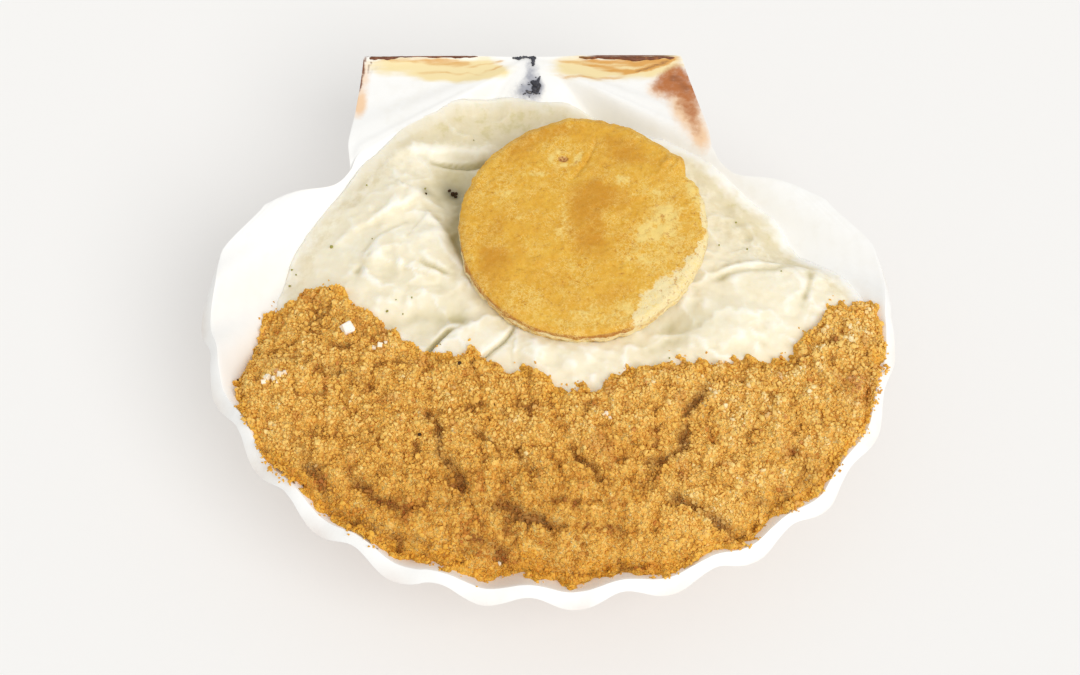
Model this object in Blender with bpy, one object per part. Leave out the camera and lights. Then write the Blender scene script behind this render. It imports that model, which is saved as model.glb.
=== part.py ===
"""A scallop gratin served in its own shell: cream sauce, a crumb crust and a pastry round.

Metres, +Z up.  The valve's hinge lies at +Y, its rounded front at -Y, and it
rests on a small flat worn spot under the bowl at z = 0.
"""

import math

import bmesh
import bpy

MM = 0.001

# The valve (millimetres and degrees)
HALF_WIDTH = 58.0            # half the valve's width
FRONT_HALF = 52.7            # half-length of the ellipse that the rounded edge follows
ELLIPSE_Y = 2.0              # centre of that ellipse
BEAK = (-3.0, 53.3)          # where the ribs converge, at the middle of the hinge
LEFT_SIDE = 56.5             # the disc's straight back edges, in degrees from the front
RIGHT_SIDE = 60.0
CORNER = 0.10                # how far the edge is drawn in where it meets the back edges
RIM_Z = 27.0                 # height of the rim
BOWL_DEPTH = 24.9            # rim plane down to the inside of the bowl
DEEPEST = 0.49               # where along a rib the bowl is deepest
COLUMNS = 57                 # grid columns across the fan of ribs
ROWS = 13                    # grid rows from beak to edge
LEFT_ROW = 9                 # the rows at which the ears leave the disc
RIGHT_ROW = 8
EAR_COLUMNS = 4
NOTCH_TUCK = 2.6             # how far the back edge is drawn in beside an ear
RIB_COLUMNS = 4              # columns to one rib
RIB_INSIDE = 0.75            # height of the ribs' relief inside the edge
RIB_OUTSIDE = 0.95           # and outside
RIB_EDGE = 0.35              # how far a rib juts from the edge
WALL = 2.1                   # wall thickness at the edge
WALL_EXTRA = 0.75            # what the bottom has more
LEFT_EAR = ((-36.1, 31.4), (-35.5, 35.0), (-34.5, 41.0), (-33.7, 47.0), (-33.1, 53.0))
RIGHT_EAR = ((29.2, 34.8), (28.6, 37.5), (27.4, 42.0), (25.9, 47.0), (23.9, 53.3))

# The filling: reach of its edge every 15 degrees from the front, turning to the right
FILLING_CENTRE = (0.0, -2.0)
FILLING_REACH = (44, 46, 49, 51, 54, 55, 53, 48, 46, 44, 44, 45,
                 47, 48, 48, 46, 48, 50, 52, 53, 51, 49, 47, 45)
FILLING_COLUMNS = 52
FILLING_ROWS = 11
FILLING_LEVEL = 25.5
FILLING_ROUNDING = 8.5       # how far in from its edge the filling reaches its level
# Lobes of sauce and heaps under the crumbs: x, y, height, radius
LOBES = (
    (2.0, -22.0, 4.4, 30.0),
    (-34.0, 8.0, 1.6, 11.0),
    (-25.0, 25.0, 1.8, 10.0),
    (-18.0, 12.0, 1.6, 9.0),
    (-24.0, 0.0, 1.3, 10.0),
    (40.0, 1.0, 2.2, 13.0),
    (24.0, -3.0, 1.2, 9.0),
    (6.0, 14.0, 3.2, 22.0),
    (-9.0, 39.0, -0.9, 11.0),
    (36.0, 18.0, -0.8, 10.0),
)

# The crumb crust
CRUST_CENTRE = (2.0, -27.0)
CRUST_REACH = (21, 21, 22, 26, 30, 36, 45, 52, 40, 23, 14, 11,
               11, 13, 17, 27, 52, 54, 47, 38, 32, 26, 23, 20)
CRUST_COLUMNS = 64
CRUST_ROWS = 11
CRUST_THICKNESS = 1.7
# Heaps in the crust: x, y, extra height, radius
HEAPS = (
    (-45.0, -12.0, 1.0, 8.0),
    (-28.0, -25.0, 1.5, 10.0),
    (-22.0, -41.0, 0.9, 9.0),
    (3.0, -29.0, 1.6, 12.0),
    (18.0, -20.0, 1.3, 8.0),
    (38.0, -22.0, 1.6, 11.0),
    (22.0, -40.0, 0.8, 8.0),
    (50.0, -8.0, 1.2, 8.0),
)

# The pastry round
PASTRY_CENTRE = (6.0, 14.9)
PASTRY_RADIUS = 21.6
PASTRY_Z = 29.9              # its underside at the centre
PASTRY_THICKNESS = 3.2
PASTRY_SLOPE = (0.015, -0.02)
PASTRY_COLUMNS = 48

# Hinge remains
LIGAMENT_HEIGHT = 0.6
LIGAMENT_WIDTH = 1.0
PAD_CENTRE = (-2.4, 47.8)
PAD_RADII = (2.2, 1.8)

GAP = 0.5                    # clearance between neighbouring pieces
PAD_GAP = 1.0                # under the resilium, on the steep wall below the hinge
CRUST_GAP = 0.6              # and under the crust, whose facets cross those of the filling

FINISHES = {
    "shell": ((0.93, 0.91, 0.86), 0.5),
    "filling": ((0.88, 0.79, 0.60), 0.35),
    "crumb_crust": ((0.58, 0.30, 0.07), 0.8),
    "pastry_disc": ((0.68, 0.38, 0.08), 0.45),
    "ligament_left": ((0.42, 0.20, 0.06), 0.5),
    "ligament_right": ((0.42, 0.20, 0.06), 0.5),
    "resilium": ((0.10, 0.08, 0.07), 0.45),
}


def smooth(value, low, high):
    """Ease from 0 at low to 1 at high."""
    part = min(1.0, max(0.0, (value - low) / (high - low)))
    return part * part * (3.0 - 2.0 * part)


def hills(x, y, table):
    """The summed height of the rounded hills in a table."""
    return sum(
        height * math.exp(-((x - cx) ** 2 + (y - cy) ** 2) / radius ** 2)
        for cx, cy, height, radius in table
    )


def side_angle(phi):
    """The angle of the disc's straight back edge on the side of a ray."""
    return math.radians(RIGHT_SIDE if phi > 0.0 else LEFT_SIDE)


def rib_wave(phi):
    """1 on the crest of a rib and -1 in the furrow between two."""
    pitch = math.radians(LEFT_SIDE + RIGHT_SIDE) / (COLUMNS - 1) * RIB_COLUMNS
    fade = 1.0 - smooth(abs(phi) / side_angle(phi), 0.86, 0.97)
    return -math.cos(2.0 * math.pi * phi / pitch) * fade


def disc_reach(phi):
    """From the beak to the valve's edge along a ray turned phi from the front."""
    dx, dy = math.sin(phi) / HALF_WIDTH, -math.cos(phi) / FRONT_HALF
    ox, oy = BEAK[0] / HALF_WIDTH, (BEAK[1] - ELLIPSE_Y) / FRONT_HALF
    square, half, rest = dx * dx + dy * dy, ox * dx + oy * dy, ox * ox + oy * oy - 1.0
    reach = (-half + math.sqrt(half * half - square * rest)) / square
    reach *= 1.0 - CORNER * smooth(abs(phi) / side_angle(phi), 0.94, 1.0)
    lean = math.exp(-((math.degrees(phi) - 31.0) / 14.0) ** 2)
    flat = math.exp(-((math.degrees(phi) + 30.0) / 13.0) ** 2)
    return reach * (1.0 + 0.015 * lean - 0.012 * flat) + RIB_EDGE * rib_wave(phi)


def polar(x, y):
    """Angle from the front and distance, both about the beak."""
    return math.atan2(x - BEAK[0], BEAK[1] - y), math.hypot(x - BEAK[0], BEAK[1] - y)


def hollow(x, y):
    """Depth of the smooth bowl below the rim plane."""
    phi, distance = polar(x, y)
    share = min(1.0, distance / disc_reach(phi))
    if abs(phi) >= side_angle(phi):
        turn = (abs(phi) - side_angle(phi)) / (0.5 * math.pi - side_angle(phi))
        return 0.6 * math.sin(math.pi * min(1.0, turn)) ** 2 * min(1.0, distance / 20.0)
    if share > DEEPEST:
        along = ((share - DEEPEST) / (1.0 - DEEPEST)) ** 2.4
    else:
        along = ((DEEPEST - share) / DEEPEST) ** 3.0
    across = 1.0 - (abs(phi) / side_angle(phi)) ** 2.1
    rounded = smooth(across, -0.12, 0.42) * smooth(share, 0.02, 0.26)
    return BOWL_DEPTH * (1.0 - along) * across * rounded


def inside(x, y):
    """Height of the valve's ribbed inner face."""
    phi, distance = polar(x, y)
    share = min(1.0, distance / disc_reach(phi))
    relief = RIB_INSIDE * (0.15 + 0.85 * share ** 3) * smooth(share, 0.1, 0.4)
    if abs(phi) >= side_angle(phi):
        relief = 0.0
    return RIM_Z - hollow(x, y) - relief * rib_wave(phi)


def slope(x, y):
    """The bowl's rise towards +X and +Y, taken slightly inwards of a point."""
    if abs(polar(x, y)[0]) >= side_angle(x - BEAK[0]):
        return 0.0, 0.0
    px, py, step = x * 0.98, y * 0.98, 0.5
    slope_x = (hollow(px - step, py) - hollow(px + step, py)) / (2.0 * step)
    slope_y = (hollow(px, py - step) - hollow(px, py + step)) / (2.0 * step)
    return slope_x, slope_y


def steepness(x, y):
    """The vertical length of a gap of one millimetre across the bowl's face."""
    return math.hypot(1.0, *slope(x, y))


def skin(x, y):
    """How far the outer face lies from the inner one at a point, as a vector."""
    phi, distance = polar(x, y)
    share = min(1.0, distance / disc_reach(phi))
    slope_x, slope_y = slope(x, y)
    length = steepness(x, y)
    normal = (slope_x / length, slope_y / length, -1.0 / length)
    inward = distance * max(0.0, side_angle(phi) - abs(phi))
    spread = max(smooth(distance, 40.0, 50.0), smooth(inward, 4.0, 12.0) * smooth(distance, 12.0, 30.0))
    if abs(phi) >= side_angle(phi) - 1e-6 and distance < 40.0:
        spread = 0.0
    worn = smooth(math.hypot(x - BEAK[0], y - ELLIPSE_Y - 2.0), 12.0, 26.0)
    relief = RIB_OUTSIDE * 0.5 * (1.0 + rib_wave(phi)) * smooth(share, 0.08, 0.3) * worn
    thick = WALL + WALL_EXTRA * (1.0 - share ** 2) + relief
    level = normal[0] ** 2 + normal[1] ** 2
    down = thick * (1.0 - spread * level) / -normal[2]
    return (spread * thick * normal[0], spread * thick * normal[1], -down)


def reach(table, angle):
    """The eased reach of an outline at an angle from the front."""
    place = (angle % (2.0 * math.pi)) / (2.0 * math.pi) * len(table)
    first = int(place) % len(table)
    part = smooth(place - int(place), 0.0, 1.0)
    return table[first] * (1.0 - part) + table[(first + 1) % len(table)] * part


def edge_distance(x, y, centre, table):
    """How far inside an outline a point lies, measured along its ray."""
    dx, dy = x - centre[0], y - centre[1]
    return reach(table, math.atan2(dx, -dy)) - math.hypot(dx, dy)


def under_filling(x, y):
    """Height of the filling's underside, just clear of the bowl."""
    return RIM_Z - hollow(x, y) + RIB_INSIDE * 0.6 + GAP * steepness(x, y)


def over_filling(x, y):
    """Height of the filling's top: lobes, lowered under the pastry round."""
    low = under_filling(x, y) + 0.6
    heap = FILLING_LEVEL + hills(x, y, LOBES)
    pad = pastry_underside(x, y) - 0.3
    away = math.hypot(x - PASTRY_CENTRE[0], y - PASTRY_CENTRE[1]) - PASTRY_RADIUS
    heap += (pad - heap) * (1.0 - smooth(away, 0.8, 9.0))
    inner = edge_distance(x, y, FILLING_CENTRE, FILLING_REACH)
    return low + max(0.0, heap - low) * smooth(inner, -1.5, FILLING_ROUNDING) ** 0.7


def under_crust(x, y):
    """Height of the crumb crust's underside, a little clearer towards the edge."""
    inner = smooth(edge_distance(x, y, FILLING_CENTRE, FILLING_REACH), 4.0, 14.0)
    return over_filling(x, y) + CRUST_GAP * (1.7 - 0.7 * inner)


def over_crust(x, y):
    """Height of the crumb crust's top."""
    swell = smooth(edge_distance(x, y, CRUST_CENTRE, CRUST_REACH), -1.0, 6.0)
    return under_crust(x, y) + 0.5 + (CRUST_THICKNESS + hills(x, y, HEAPS)) * swell


def pastry_underside(x, y):
    """Height of the pastry round's underside."""
    dx, dy = x - PASTRY_CENTRE[0], y - PASTRY_CENTRE[1]
    return PASTRY_Z + PASTRY_SLOPE[0] * dx + PASTRY_SLOPE[1] * dy


def place(vertex, x, y, z):
    """Move a vertex to a point given in millimetres."""
    vertex.co = (x * MM, y * MM, z * MM)


def lattice(mesh, columns, rows, mapping):
    """Add a grid of columns by rows cells, its unit square bent by a mapping."""
    made = bmesh.ops.create_grid(mesh, x_segments=columns, y_segments=rows, size=1.0)["verts"]
    for vertex in made:
        place(vertex, *mapping(0.5 + 0.5 * vertex.co.x, 0.5 + 0.5 * vertex.co.y))
    return made


def weld(mesh):
    """Join the vertices that fall together."""
    bmesh.ops.remove_doubles(mesh, verts=mesh.verts, dist=0.00001)


def close_sheet(mesh, lower):
    """Turn an open sheet into a closed body by drawing a copy of it away.

    lower maps a sheet vertex's x, y and z in millimetres to its partner's.
    """
    drawn = bmesh.ops.extrude_face_region(mesh, geom=list(mesh.faces), use_keep_orig=True)["geom"]
    for vertex in (part for part in drawn if isinstance(part, bmesh.types.BMVert)):
        place(vertex, *lower(*(value / MM for value in vertex.co)))
    bmesh.ops.triangulate(mesh, faces=mesh.faces)
    bmesh.ops.recalc_face_normals(mesh, faces=mesh.faces)


def material(name):
    """The Principled material of a piece."""
    colour, roughness = FINISHES[name]
    made = bpy.data.materials.new(name)
    made.use_nodes = True
    shader = made.node_tree.nodes["Principled BSDF"]
    shader.inputs["Base Color"].default_value = (*colour, 1.0)
    shader.inputs["Roughness"].default_value = roughness
    return made


def add_piece(collection, name, mesh, crease=40.0):
    """Store a finished mesh as a named object in the collection."""
    data = bpy.data.meshes.new(name)
    mesh.to_mesh(data)
    mesh.free()
    data.shade_smooth()
    data.set_sharp_from_angle(angle=math.radians(crease))
    data.materials.append(material(name))
    piece = bpy.data.objects.new(name, data)
    collection.objects.link(piece)
    return piece


def disc_point(u, v):
    """A point of the valve's disc: u across the ribs, v from beak to edge."""
    phi = math.radians(-LEFT_SIDE + u * (LEFT_SIDE + RIGHT_SIDE))
    distance = v * disc_reach(phi)
    beside = smooth(abs(phi) / side_angle(phi), 0.8, 1.0) * smooth(distance, 35.5, 39.5)
    tuck = NOTCH_TUCK * math.exp(-((distance - 43.0) / 6.0) ** 2) / max(distance, 1.0)
    phi -= math.copysign(tuck * beside, phi)
    x, y = BEAK[0] + distance * math.sin(phi), BEAK[1] - distance * math.cos(phi)
    return x, y, inside(x, y)


def ear_point(margin, side, row, u, v):
    """A point of an ear: u from the disc to the hinge line, v out from the beak."""
    notch = disc_reach(side) * row / ROWS
    corner = (BEAK[0] + notch * math.sin(side), BEAK[1] - notch * math.cos(side))
    line = (corner,) + margin[1:]
    place_on = u * (len(line) - 1)
    first = min(int(place_on), len(line) - 2)
    part = place_on - first
    ex = line[first][0] * (1.0 - part) + line[first + 1][0] * part
    ey = line[first][1] * (1.0 - part) + line[first + 1][1] * part
    x, y = BEAK[0] + v * (ex - BEAK[0]), BEAK[1] + v * (ey - BEAK[1])
    seam = disc_point(0.0 if side < 0.0 else 1.0, v * row / ROWS)
    if u == 0.0:
        return seam
    near = 1.0 - smooth(u, 0.0, 0.3)
    x += (seam[0] - BEAK[0] - v * (corner[0] - BEAK[0])) * near
    y += (seam[1] - BEAK[1] - v * (corner[1] - BEAK[1])) * near
    return x, y, RIM_Z - hollow(x, y)


def outer_point(x, y, z):
    """The partner on the outer face of a point of the inner face."""
    dx, dy, dz = skin(x, y)
    return x + dx, y + dy, max(0.0, z + dz)


def build_shell(collection):
    """The valve: a ribbed bowl with two ears along a straight hinge."""
    mesh = bmesh.new()
    lattice(mesh, COLUMNS - 1, ROWS, disc_point)
    for ear in (
        (LEFT_EAR, -math.radians(LEFT_SIDE), LEFT_ROW),
        (RIGHT_EAR, math.radians(RIGHT_SIDE), RIGHT_ROW),
    ):
        lattice(mesh, EAR_COLUMNS, ear[2], lambda u, v, e=ear: ear_point(*e, u, v))
    weld(mesh)
    close_sheet(mesh, outer_point)
    return add_piece(collection, "shell", mesh)


def heap_sheet(columns, rows, centre, table, top):
    """An open sheet out to an outline, following a top surface."""
    mesh = bmesh.new()

    def mapping(u, v):
        angle = 2.0 * math.pi * u
        distance = (1.0 - (1.0 - v) ** 1.25) * reach(table, angle)
        x, y = centre[0] + distance * math.sin(angle), centre[1] - distance * math.cos(angle)
        return x, y, top(x, y)

    lattice(mesh, columns, rows, mapping)
    weld(mesh)
    return mesh


def build_filling(collection):
    """The cream sauce, filling the bowl up to its lobed top."""
    mesh = heap_sheet(FILLING_COLUMNS, FILLING_ROWS, FILLING_CENTRE, FILLING_REACH, over_filling)
    close_sheet(mesh, lambda x, y, z: (x, y, under_filling(x, y)))
    return add_piece(collection, "filling", mesh)


def build_crust(collection):
    """The browned crumbs heaped over the front of the filling."""
    mesh = heap_sheet(CRUST_COLUMNS, CRUST_ROWS, CRUST_CENTRE, CRUST_REACH, over_crust)
    close_sheet(mesh, lambda x, y, z: (x, y, under_crust(x, y)))
    return add_piece(collection, "crumb_crust", mesh)


def build_pastry(collection):
    """The round of puff pastry, slightly domed, laid on the sauce."""
    mesh = bmesh.new()
    bmesh.ops.create_cone(
        mesh, cap_ends=True, segments=PASTRY_COLUMNS,
        radius1=PASTRY_RADIUS, radius2=PASTRY_RADIUS, depth=PASTRY_THICKNESS,
    )
    top = [face for face in mesh.faces if face.normal.z > 0.9]
    for share, rise in ((0.06, 0.35), (0.25, 0.35), (0.30, 0.15)):
        bmesh.ops.inset_region(mesh, faces=top, thickness=share * PASTRY_RADIUS, use_even_offset=True)
        bmesh.ops.translate(mesh, verts=list({v for f in top for v in f.verts}), vec=(0.0, 0.0, rise))
    for vertex in mesh.verts:
        x, y, z = vertex.co
        wobble = 1.0 + 0.012 * math.sin(3.0 * math.atan2(x, y) + 0.6)
        x, y = PASTRY_CENTRE[0] + x * wobble, PASTRY_CENTRE[1] + y * wobble
        place(vertex, x, y, pastry_underside(x, y) + z + 0.5 * PASTRY_THICKNESS)
    bmesh.ops.triangulate(mesh, faces=mesh.faces)
    bmesh.ops.recalc_face_normals(mesh, faces=mesh.faces)
    return add_piece(collection, "pastry_disc", mesh)


def build_ligament(collection, name, start, end):
    """A strip of dried ligament along one half of the hinge."""
    mesh = bmesh.new()

    def mapping(u, v):
        x = start + u * (end - start)
        width = LIGAMENT_WIDTH * (0.45 + 0.55 * math.sin(math.pi * min(1.0, 0.15 + 0.75 * u)))
        y = BEAK[1] - 0.2 - v * width
        crown = LIGAMENT_HEIGHT * (0.5 + 0.5 * math.sin(math.pi * v))
        return x, y, RIM_Z - hollow(x, y) + GAP + crown

    lattice(mesh, 8, 3, mapping)
    close_sheet(mesh, lambda x, y, z: (x, y, RIM_Z - hollow(x, y) + GAP))
    return add_piece(collection, name, mesh)


def build_resilium(collection):
    """The dark pad of the inner ligament, below the middle of the hinge."""
    mesh = bmesh.new()

    def mapping(u, v):
        angle = 2.0 * math.pi * u
        x = PAD_CENTRE[0] + v * PAD_RADII[0] * math.sin(angle)
        y = PAD_CENTRE[1] - v * PAD_RADII[1] * math.cos(angle)
        return x, y, RIM_Z - hollow(x, y) + PAD_GAP + 0.35 + 0.6 * (1.0 - v * v)

    lattice(mesh, 14, 3, mapping)
    weld(mesh)
    close_sheet(mesh, lambda x, y, z: (x, y, RIM_Z - hollow(x, y) + PAD_GAP))
    return add_piece(collection, "resilium", mesh)


def clear_scene():
    """Remove whatever the start-up file holds."""
    for item in list(bpy.data.objects):
        bpy.data.objects.remove(item, do_unlink=True)


def main():
    """Build every piece of the dish."""
    clear_scene()
    collection = bpy.data.collections.new("scallop_in_shell")
    bpy.context.scene.collection.children.link(collection)
    build_shell(collection)
    build_filling(collection)
    build_crust(collection)
    build_pastry(collection)
    build_ligament(collection, "ligament_left", -13.0, -32.0)
    build_ligament(collection, "ligament_right", 6.0, 22.8)
    build_resilium(collection)


main()
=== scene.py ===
"""A scallop gratin in its own shell, dressed for a plain studio table.

The valve, the cream sauce, the crumb crust, the pastry round and the hinge
remains each have a class that builds and dresses their pieces.  Shapes are
worked out in millimetres and stored in metres.
"""

import logging
import math
from collections.abc import Callable
from dataclasses import dataclass, field
from enum import Enum

import bmesh
import bpy
import numpy as np
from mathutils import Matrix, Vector


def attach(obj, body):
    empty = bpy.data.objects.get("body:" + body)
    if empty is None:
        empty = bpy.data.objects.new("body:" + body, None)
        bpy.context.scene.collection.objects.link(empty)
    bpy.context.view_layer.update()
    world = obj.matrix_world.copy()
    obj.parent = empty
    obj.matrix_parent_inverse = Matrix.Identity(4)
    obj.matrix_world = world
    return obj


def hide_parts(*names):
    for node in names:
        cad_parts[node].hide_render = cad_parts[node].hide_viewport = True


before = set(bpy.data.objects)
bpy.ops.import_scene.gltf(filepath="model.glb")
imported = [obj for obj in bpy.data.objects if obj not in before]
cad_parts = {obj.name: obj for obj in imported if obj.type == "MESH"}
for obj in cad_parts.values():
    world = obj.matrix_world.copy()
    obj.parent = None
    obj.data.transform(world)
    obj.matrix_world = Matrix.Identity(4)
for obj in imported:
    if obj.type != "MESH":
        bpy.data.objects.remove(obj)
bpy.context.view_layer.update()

LOG = logging.getLogger("scallop")
MM = 0.001
Array = np.ndarray
Pair = tuple[float, float]
Triple = tuple[float, float, float]
Colour = Triple
Socket = bpy.types.NodeSocket
HINGE_DRAW = 0.12
SOFT_DEPTH = 2.0


# ---- arithmetic


def ease(value: Array, low: float, high: float) -> Array:
    """Eases from 0 at low to 1 at high."""
    part = np.clip((value - low) / (high - low), 0.0, 1.0)
    return part * part * (3.0 - 2.0 * part)


def linear(colour: Colour) -> tuple[float, float, float, float]:
    """Turns a colour of 0 to 255 as a screen shows it into light values.

    Args:
        colour: red, green and blue.

    Returns:
        The linear colour with full opacity.
    """
    parts = [value / 255.0 for value in colour]
    parts = [p / 12.92 if p <= 0.04045 else ((p + 0.055) / 1.055) ** 2.4 for p in parts]
    return (*parts, 1.0)


def knots(table: tuple[Pair, ...], value: Array) -> Array:
    """Reads a table of (place, size) pairs at a value, with straight joins."""
    places, sizes = np.array(table).T
    return np.interp(value, places, sizes)


class Clouds:
    """Seeded noise over the plan of the dish."""

    def __init__(self, seed: int) -> None:
        """Fills the tables that the noise is read from.

        Args:
            seed: the start of the draws.
        """
        dice = np.random.default_rng(seed)
        self.table = dice.uniform(-1.0, 1.0, (256, 256))
        self.shift = dice.uniform(0.15, 0.85, (256, 256, 2))

    def soft(self, x: Array, y: Array, size: float) -> Array:
        """Smooth noise between -1 and 1.

        Args:
            x, y: places in millimetres.
            size: the width of its features.

        Returns:
            One value for each place.
        """
        gx, gy = x / size + 31.7, y / size + 57.3
        ix, iy = np.floor(gx).astype(int), np.floor(gy).astype(int)
        fx, fy = gx - ix, gy - iy
        fx, fy = fx * fx * fx * (fx * (fx * 6 - 15) + 10), fy * fy * fy * (fy * (fy * 6 - 15) + 10)
        ix, iy, jx, jy = ix % 256, iy % 256, (ix + 1) % 256, (iy + 1) % 256
        near = self.table[ix, iy] * (1 - fx) + self.table[jx, iy] * fx
        far = self.table[ix, jy] * (1 - fx) + self.table[jx, jy] * fx
        return near * (1 - fy) + far * fy

    def rough(self, x: Array, y: Array, size: float, octaves: int = 4) -> Array:
        """Noise with finer and fainter noise laid over it.

        Args:
            x, y: places in millimetres.
            size: the width of its largest features.
            octaves: how many times the features are halved.

        Returns:
            One value for each place, seldom beyond -1 and 1.
        """
        total = np.zeros_like(x)
        for octave in range(octaves):
            finer = 2.0**octave
            total = total + self.soft(x + 17.0 * octave, y - 9.0 * octave, size / finer) / finer
        return total / 1.4

    def cells(self, x: Array, y: Array, size: float) -> Array:
        """Pebbles: the distance to the nearest of many scattered centres.

        Args:
            x, y: places in millimetres.
            size: the usual distance between centres.

        Returns:
            The distance in units of size.
        """
        gx, gy = x / size + 31.7, y / size + 57.3
        ix, iy = np.floor(gx).astype(int), np.floor(gy).astype(int)
        best = np.full_like(x, 9.0)
        for dx in (-1, 0, 1):
            for dy in (-1, 0, 1):
                cx, cy = (ix + dx) % 256, (iy + dy) % 256
                place = self.shift[cx, cy]
                gap = np.hypot(ix + dx + place[..., 0] - gx, iy + dy + place[..., 1] - gy)
                best = np.minimum(best, gap)
        return best

    def stirred_cells(self, x: Array, y: Array, size: float, reach: float, swirl: float) -> Array:
        """Pebbles whose shapes are stirred by soft noise.

        Args:
            x, y: places in millimetres.
            size: the usual distance between centres.
            reach: how far places are moved first.
            swirl: the width of the noise that moves them.

        Returns:
            The distance to the nearest centre in units of size.
        """
        return self.cells(x + reach * self.soft(x, y, swirl), y + reach * self.soft(y, x, swirl), size)


@dataclass(frozen=True)
class Hill:
    """A rounded rise, or with a negative height a dip."""

    x: float
    y: float
    height: float
    radius: float
    stretch: float = 1.0
    turn: float = 0.0

    def at(self, x: Array, y: Array) -> Array:
        """The rise at each place.

        Args:
            x, y: places in millimetres.

        Returns:
            Its height there, in its own measure.
        """
        cosine, sine = math.cos(math.radians(self.turn)), math.sin(math.radians(self.turn))
        along = ((x - self.x) * cosine + (y - self.y) * sine) / self.stretch
        across = (y - self.y) * cosine - (x - self.x) * sine
        return self.height * np.exp(-(along**2 + across**2) / self.radius**2)


@dataclass(frozen=True)
class Trail:
    """A line over the food with a shape that follows it.

    With no reach it is a crease; with one, the ground left of it rises in a step
    and falls back over that distance.
    """

    points: tuple[Pair, ...]
    height: float
    width: float
    reach: float = 0.0

    def at(self, x: Array, y: Array) -> Array:
        """The rise at each place.

        Args:
            x, y: places in millimetres.

        Returns:
            One height for each place.
        """
        best = np.full_like(x, 1e6)
        side, share = np.zeros_like(x), np.zeros_like(x)
        count = len(self.points) - 1
        for index in range(count):
            (ax, ay), (bx, by) = self.points[index], self.points[index + 1]
            ux, uy = bx - ax, by - ay
            part = np.clip(((x - ax) * ux + (y - ay) * uy) / (ux * ux + uy * uy), 0.0, 1.0)
            gap = np.hypot(x - ax - part * ux, y - ay - part * uy)
            nearer = gap < best
            best = np.where(nearer, gap, best)
            side = np.where(nearer, np.sign(ux * (y - ay) - uy * (x - ax)), side)
            share = np.where(nearer, (index + part) / count, share)
        taper = ease(share, 0.0, 0.22) * (1.0 - ease(share, 0.78, 1.0))
        if not self.reach:
            return self.height * np.exp(-((best / self.width) ** 2)) * (0.25 + 0.75 * taper)
        signed = best * side
        step = 0.5 + 0.5 * np.tanh(signed / self.width)
        return self.height * step * np.exp(-((np.maximum(signed, 0.0) / self.reach) ** 2)) * taper


def rise(shapes: tuple[Hill | Trail, ...], x: Array, y: Array) -> Array:
    """The summed rise of several hills or trails at each place."""
    return sum(shape.at(x, y) for shape in shapes)


@dataclass(frozen=True)
class Outline:
    """A rounded outline given by its reach at even angles, starting at the front."""

    centre: Pair
    reaches: tuple[float, ...]

    def reach(self, angle: Array) -> Array:
        """The distance from the centre to the outline.

        Args:
            angle: turned from the front towards +X, in radians.

        Returns:
            The reach on a smooth curve through the table.
        """
        table = np.array(self.reaches, dtype=float)
        place = (angle % (2.0 * math.pi)) / (2.0 * math.pi) * len(table)
        index = np.floor(place).astype(int)
        t = place - index
        a, b, c, d = (table[(index + k) % len(table)] for k in (-1, 0, 1, 2))
        return b + 0.5 * t * (c - a + t * (2 * a - 5 * b + 4 * c - d + t * (3 * (b - c) + d - a)))

    def inset(self, x: Array, y: Array) -> Array:
        """How far inside the outline each place lies, along its ray."""
        dx, dy = x - self.centre[0], y - self.centre[1]
        return self.reach(np.arctan2(dx, -dy)) - np.hypot(dx, dy)

    def spread(self, u: Array, v: Array, extra: float = 0.0) -> tuple[Array, Array]:
        """Bends a square from -1 to 1 into the outline.

        Args:
            u, v: places in the square.
            extra: how far beyond the outline its edge goes.

        Returns:
            The places in millimetres.
        """
        a, b = u * np.sqrt(1.0 - v * v / 2.0), v * np.sqrt(1.0 - u * u / 2.0)
        angle, share = np.arctan2(a, -b), np.hypot(a, b)
        distance = share * (self.reach(angle) + extra)
        return self.centre[0] + distance * np.sin(angle), self.centre[1] - distance * np.cos(angle)


# ---- the bench


def lattice(
    mesh: bmesh.types.BMesh, columns: int, rows: int, shape: Callable[[Array, Array], Array]
) -> list:
    """Adds a grid and bends it.

    Args:
        mesh: the mesh it goes into.
        columns, rows: its cells each way.
        shape: takes u and v, both 0 to 1, and gives x, y and z in millimetres.

    Returns:
        Its vertices.
    """
    made = bmesh.ops.create_grid(mesh, x_segments=columns, y_segments=rows, size=1.0)["verts"]
    flat = np.array([vertex.co[:2] for vertex in made]) * 0.5 + 0.5
    bent = shape(flat[:, 0], flat[:, 1]) * MM
    for vertex, place in zip(made, bent):
        vertex.co = place
    return made


def places(vertices: list) -> Array:
    """The places of vertices, in millimetres, one row each."""
    return np.array([vertex.co[:] for vertex in vertices]) / MM


def settle(vertices: list, rows: Array) -> None:
    """Moves vertices to places given in millimetres."""
    for vertex, place in zip(vertices, rows * MM):
        vertex.co = place


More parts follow.
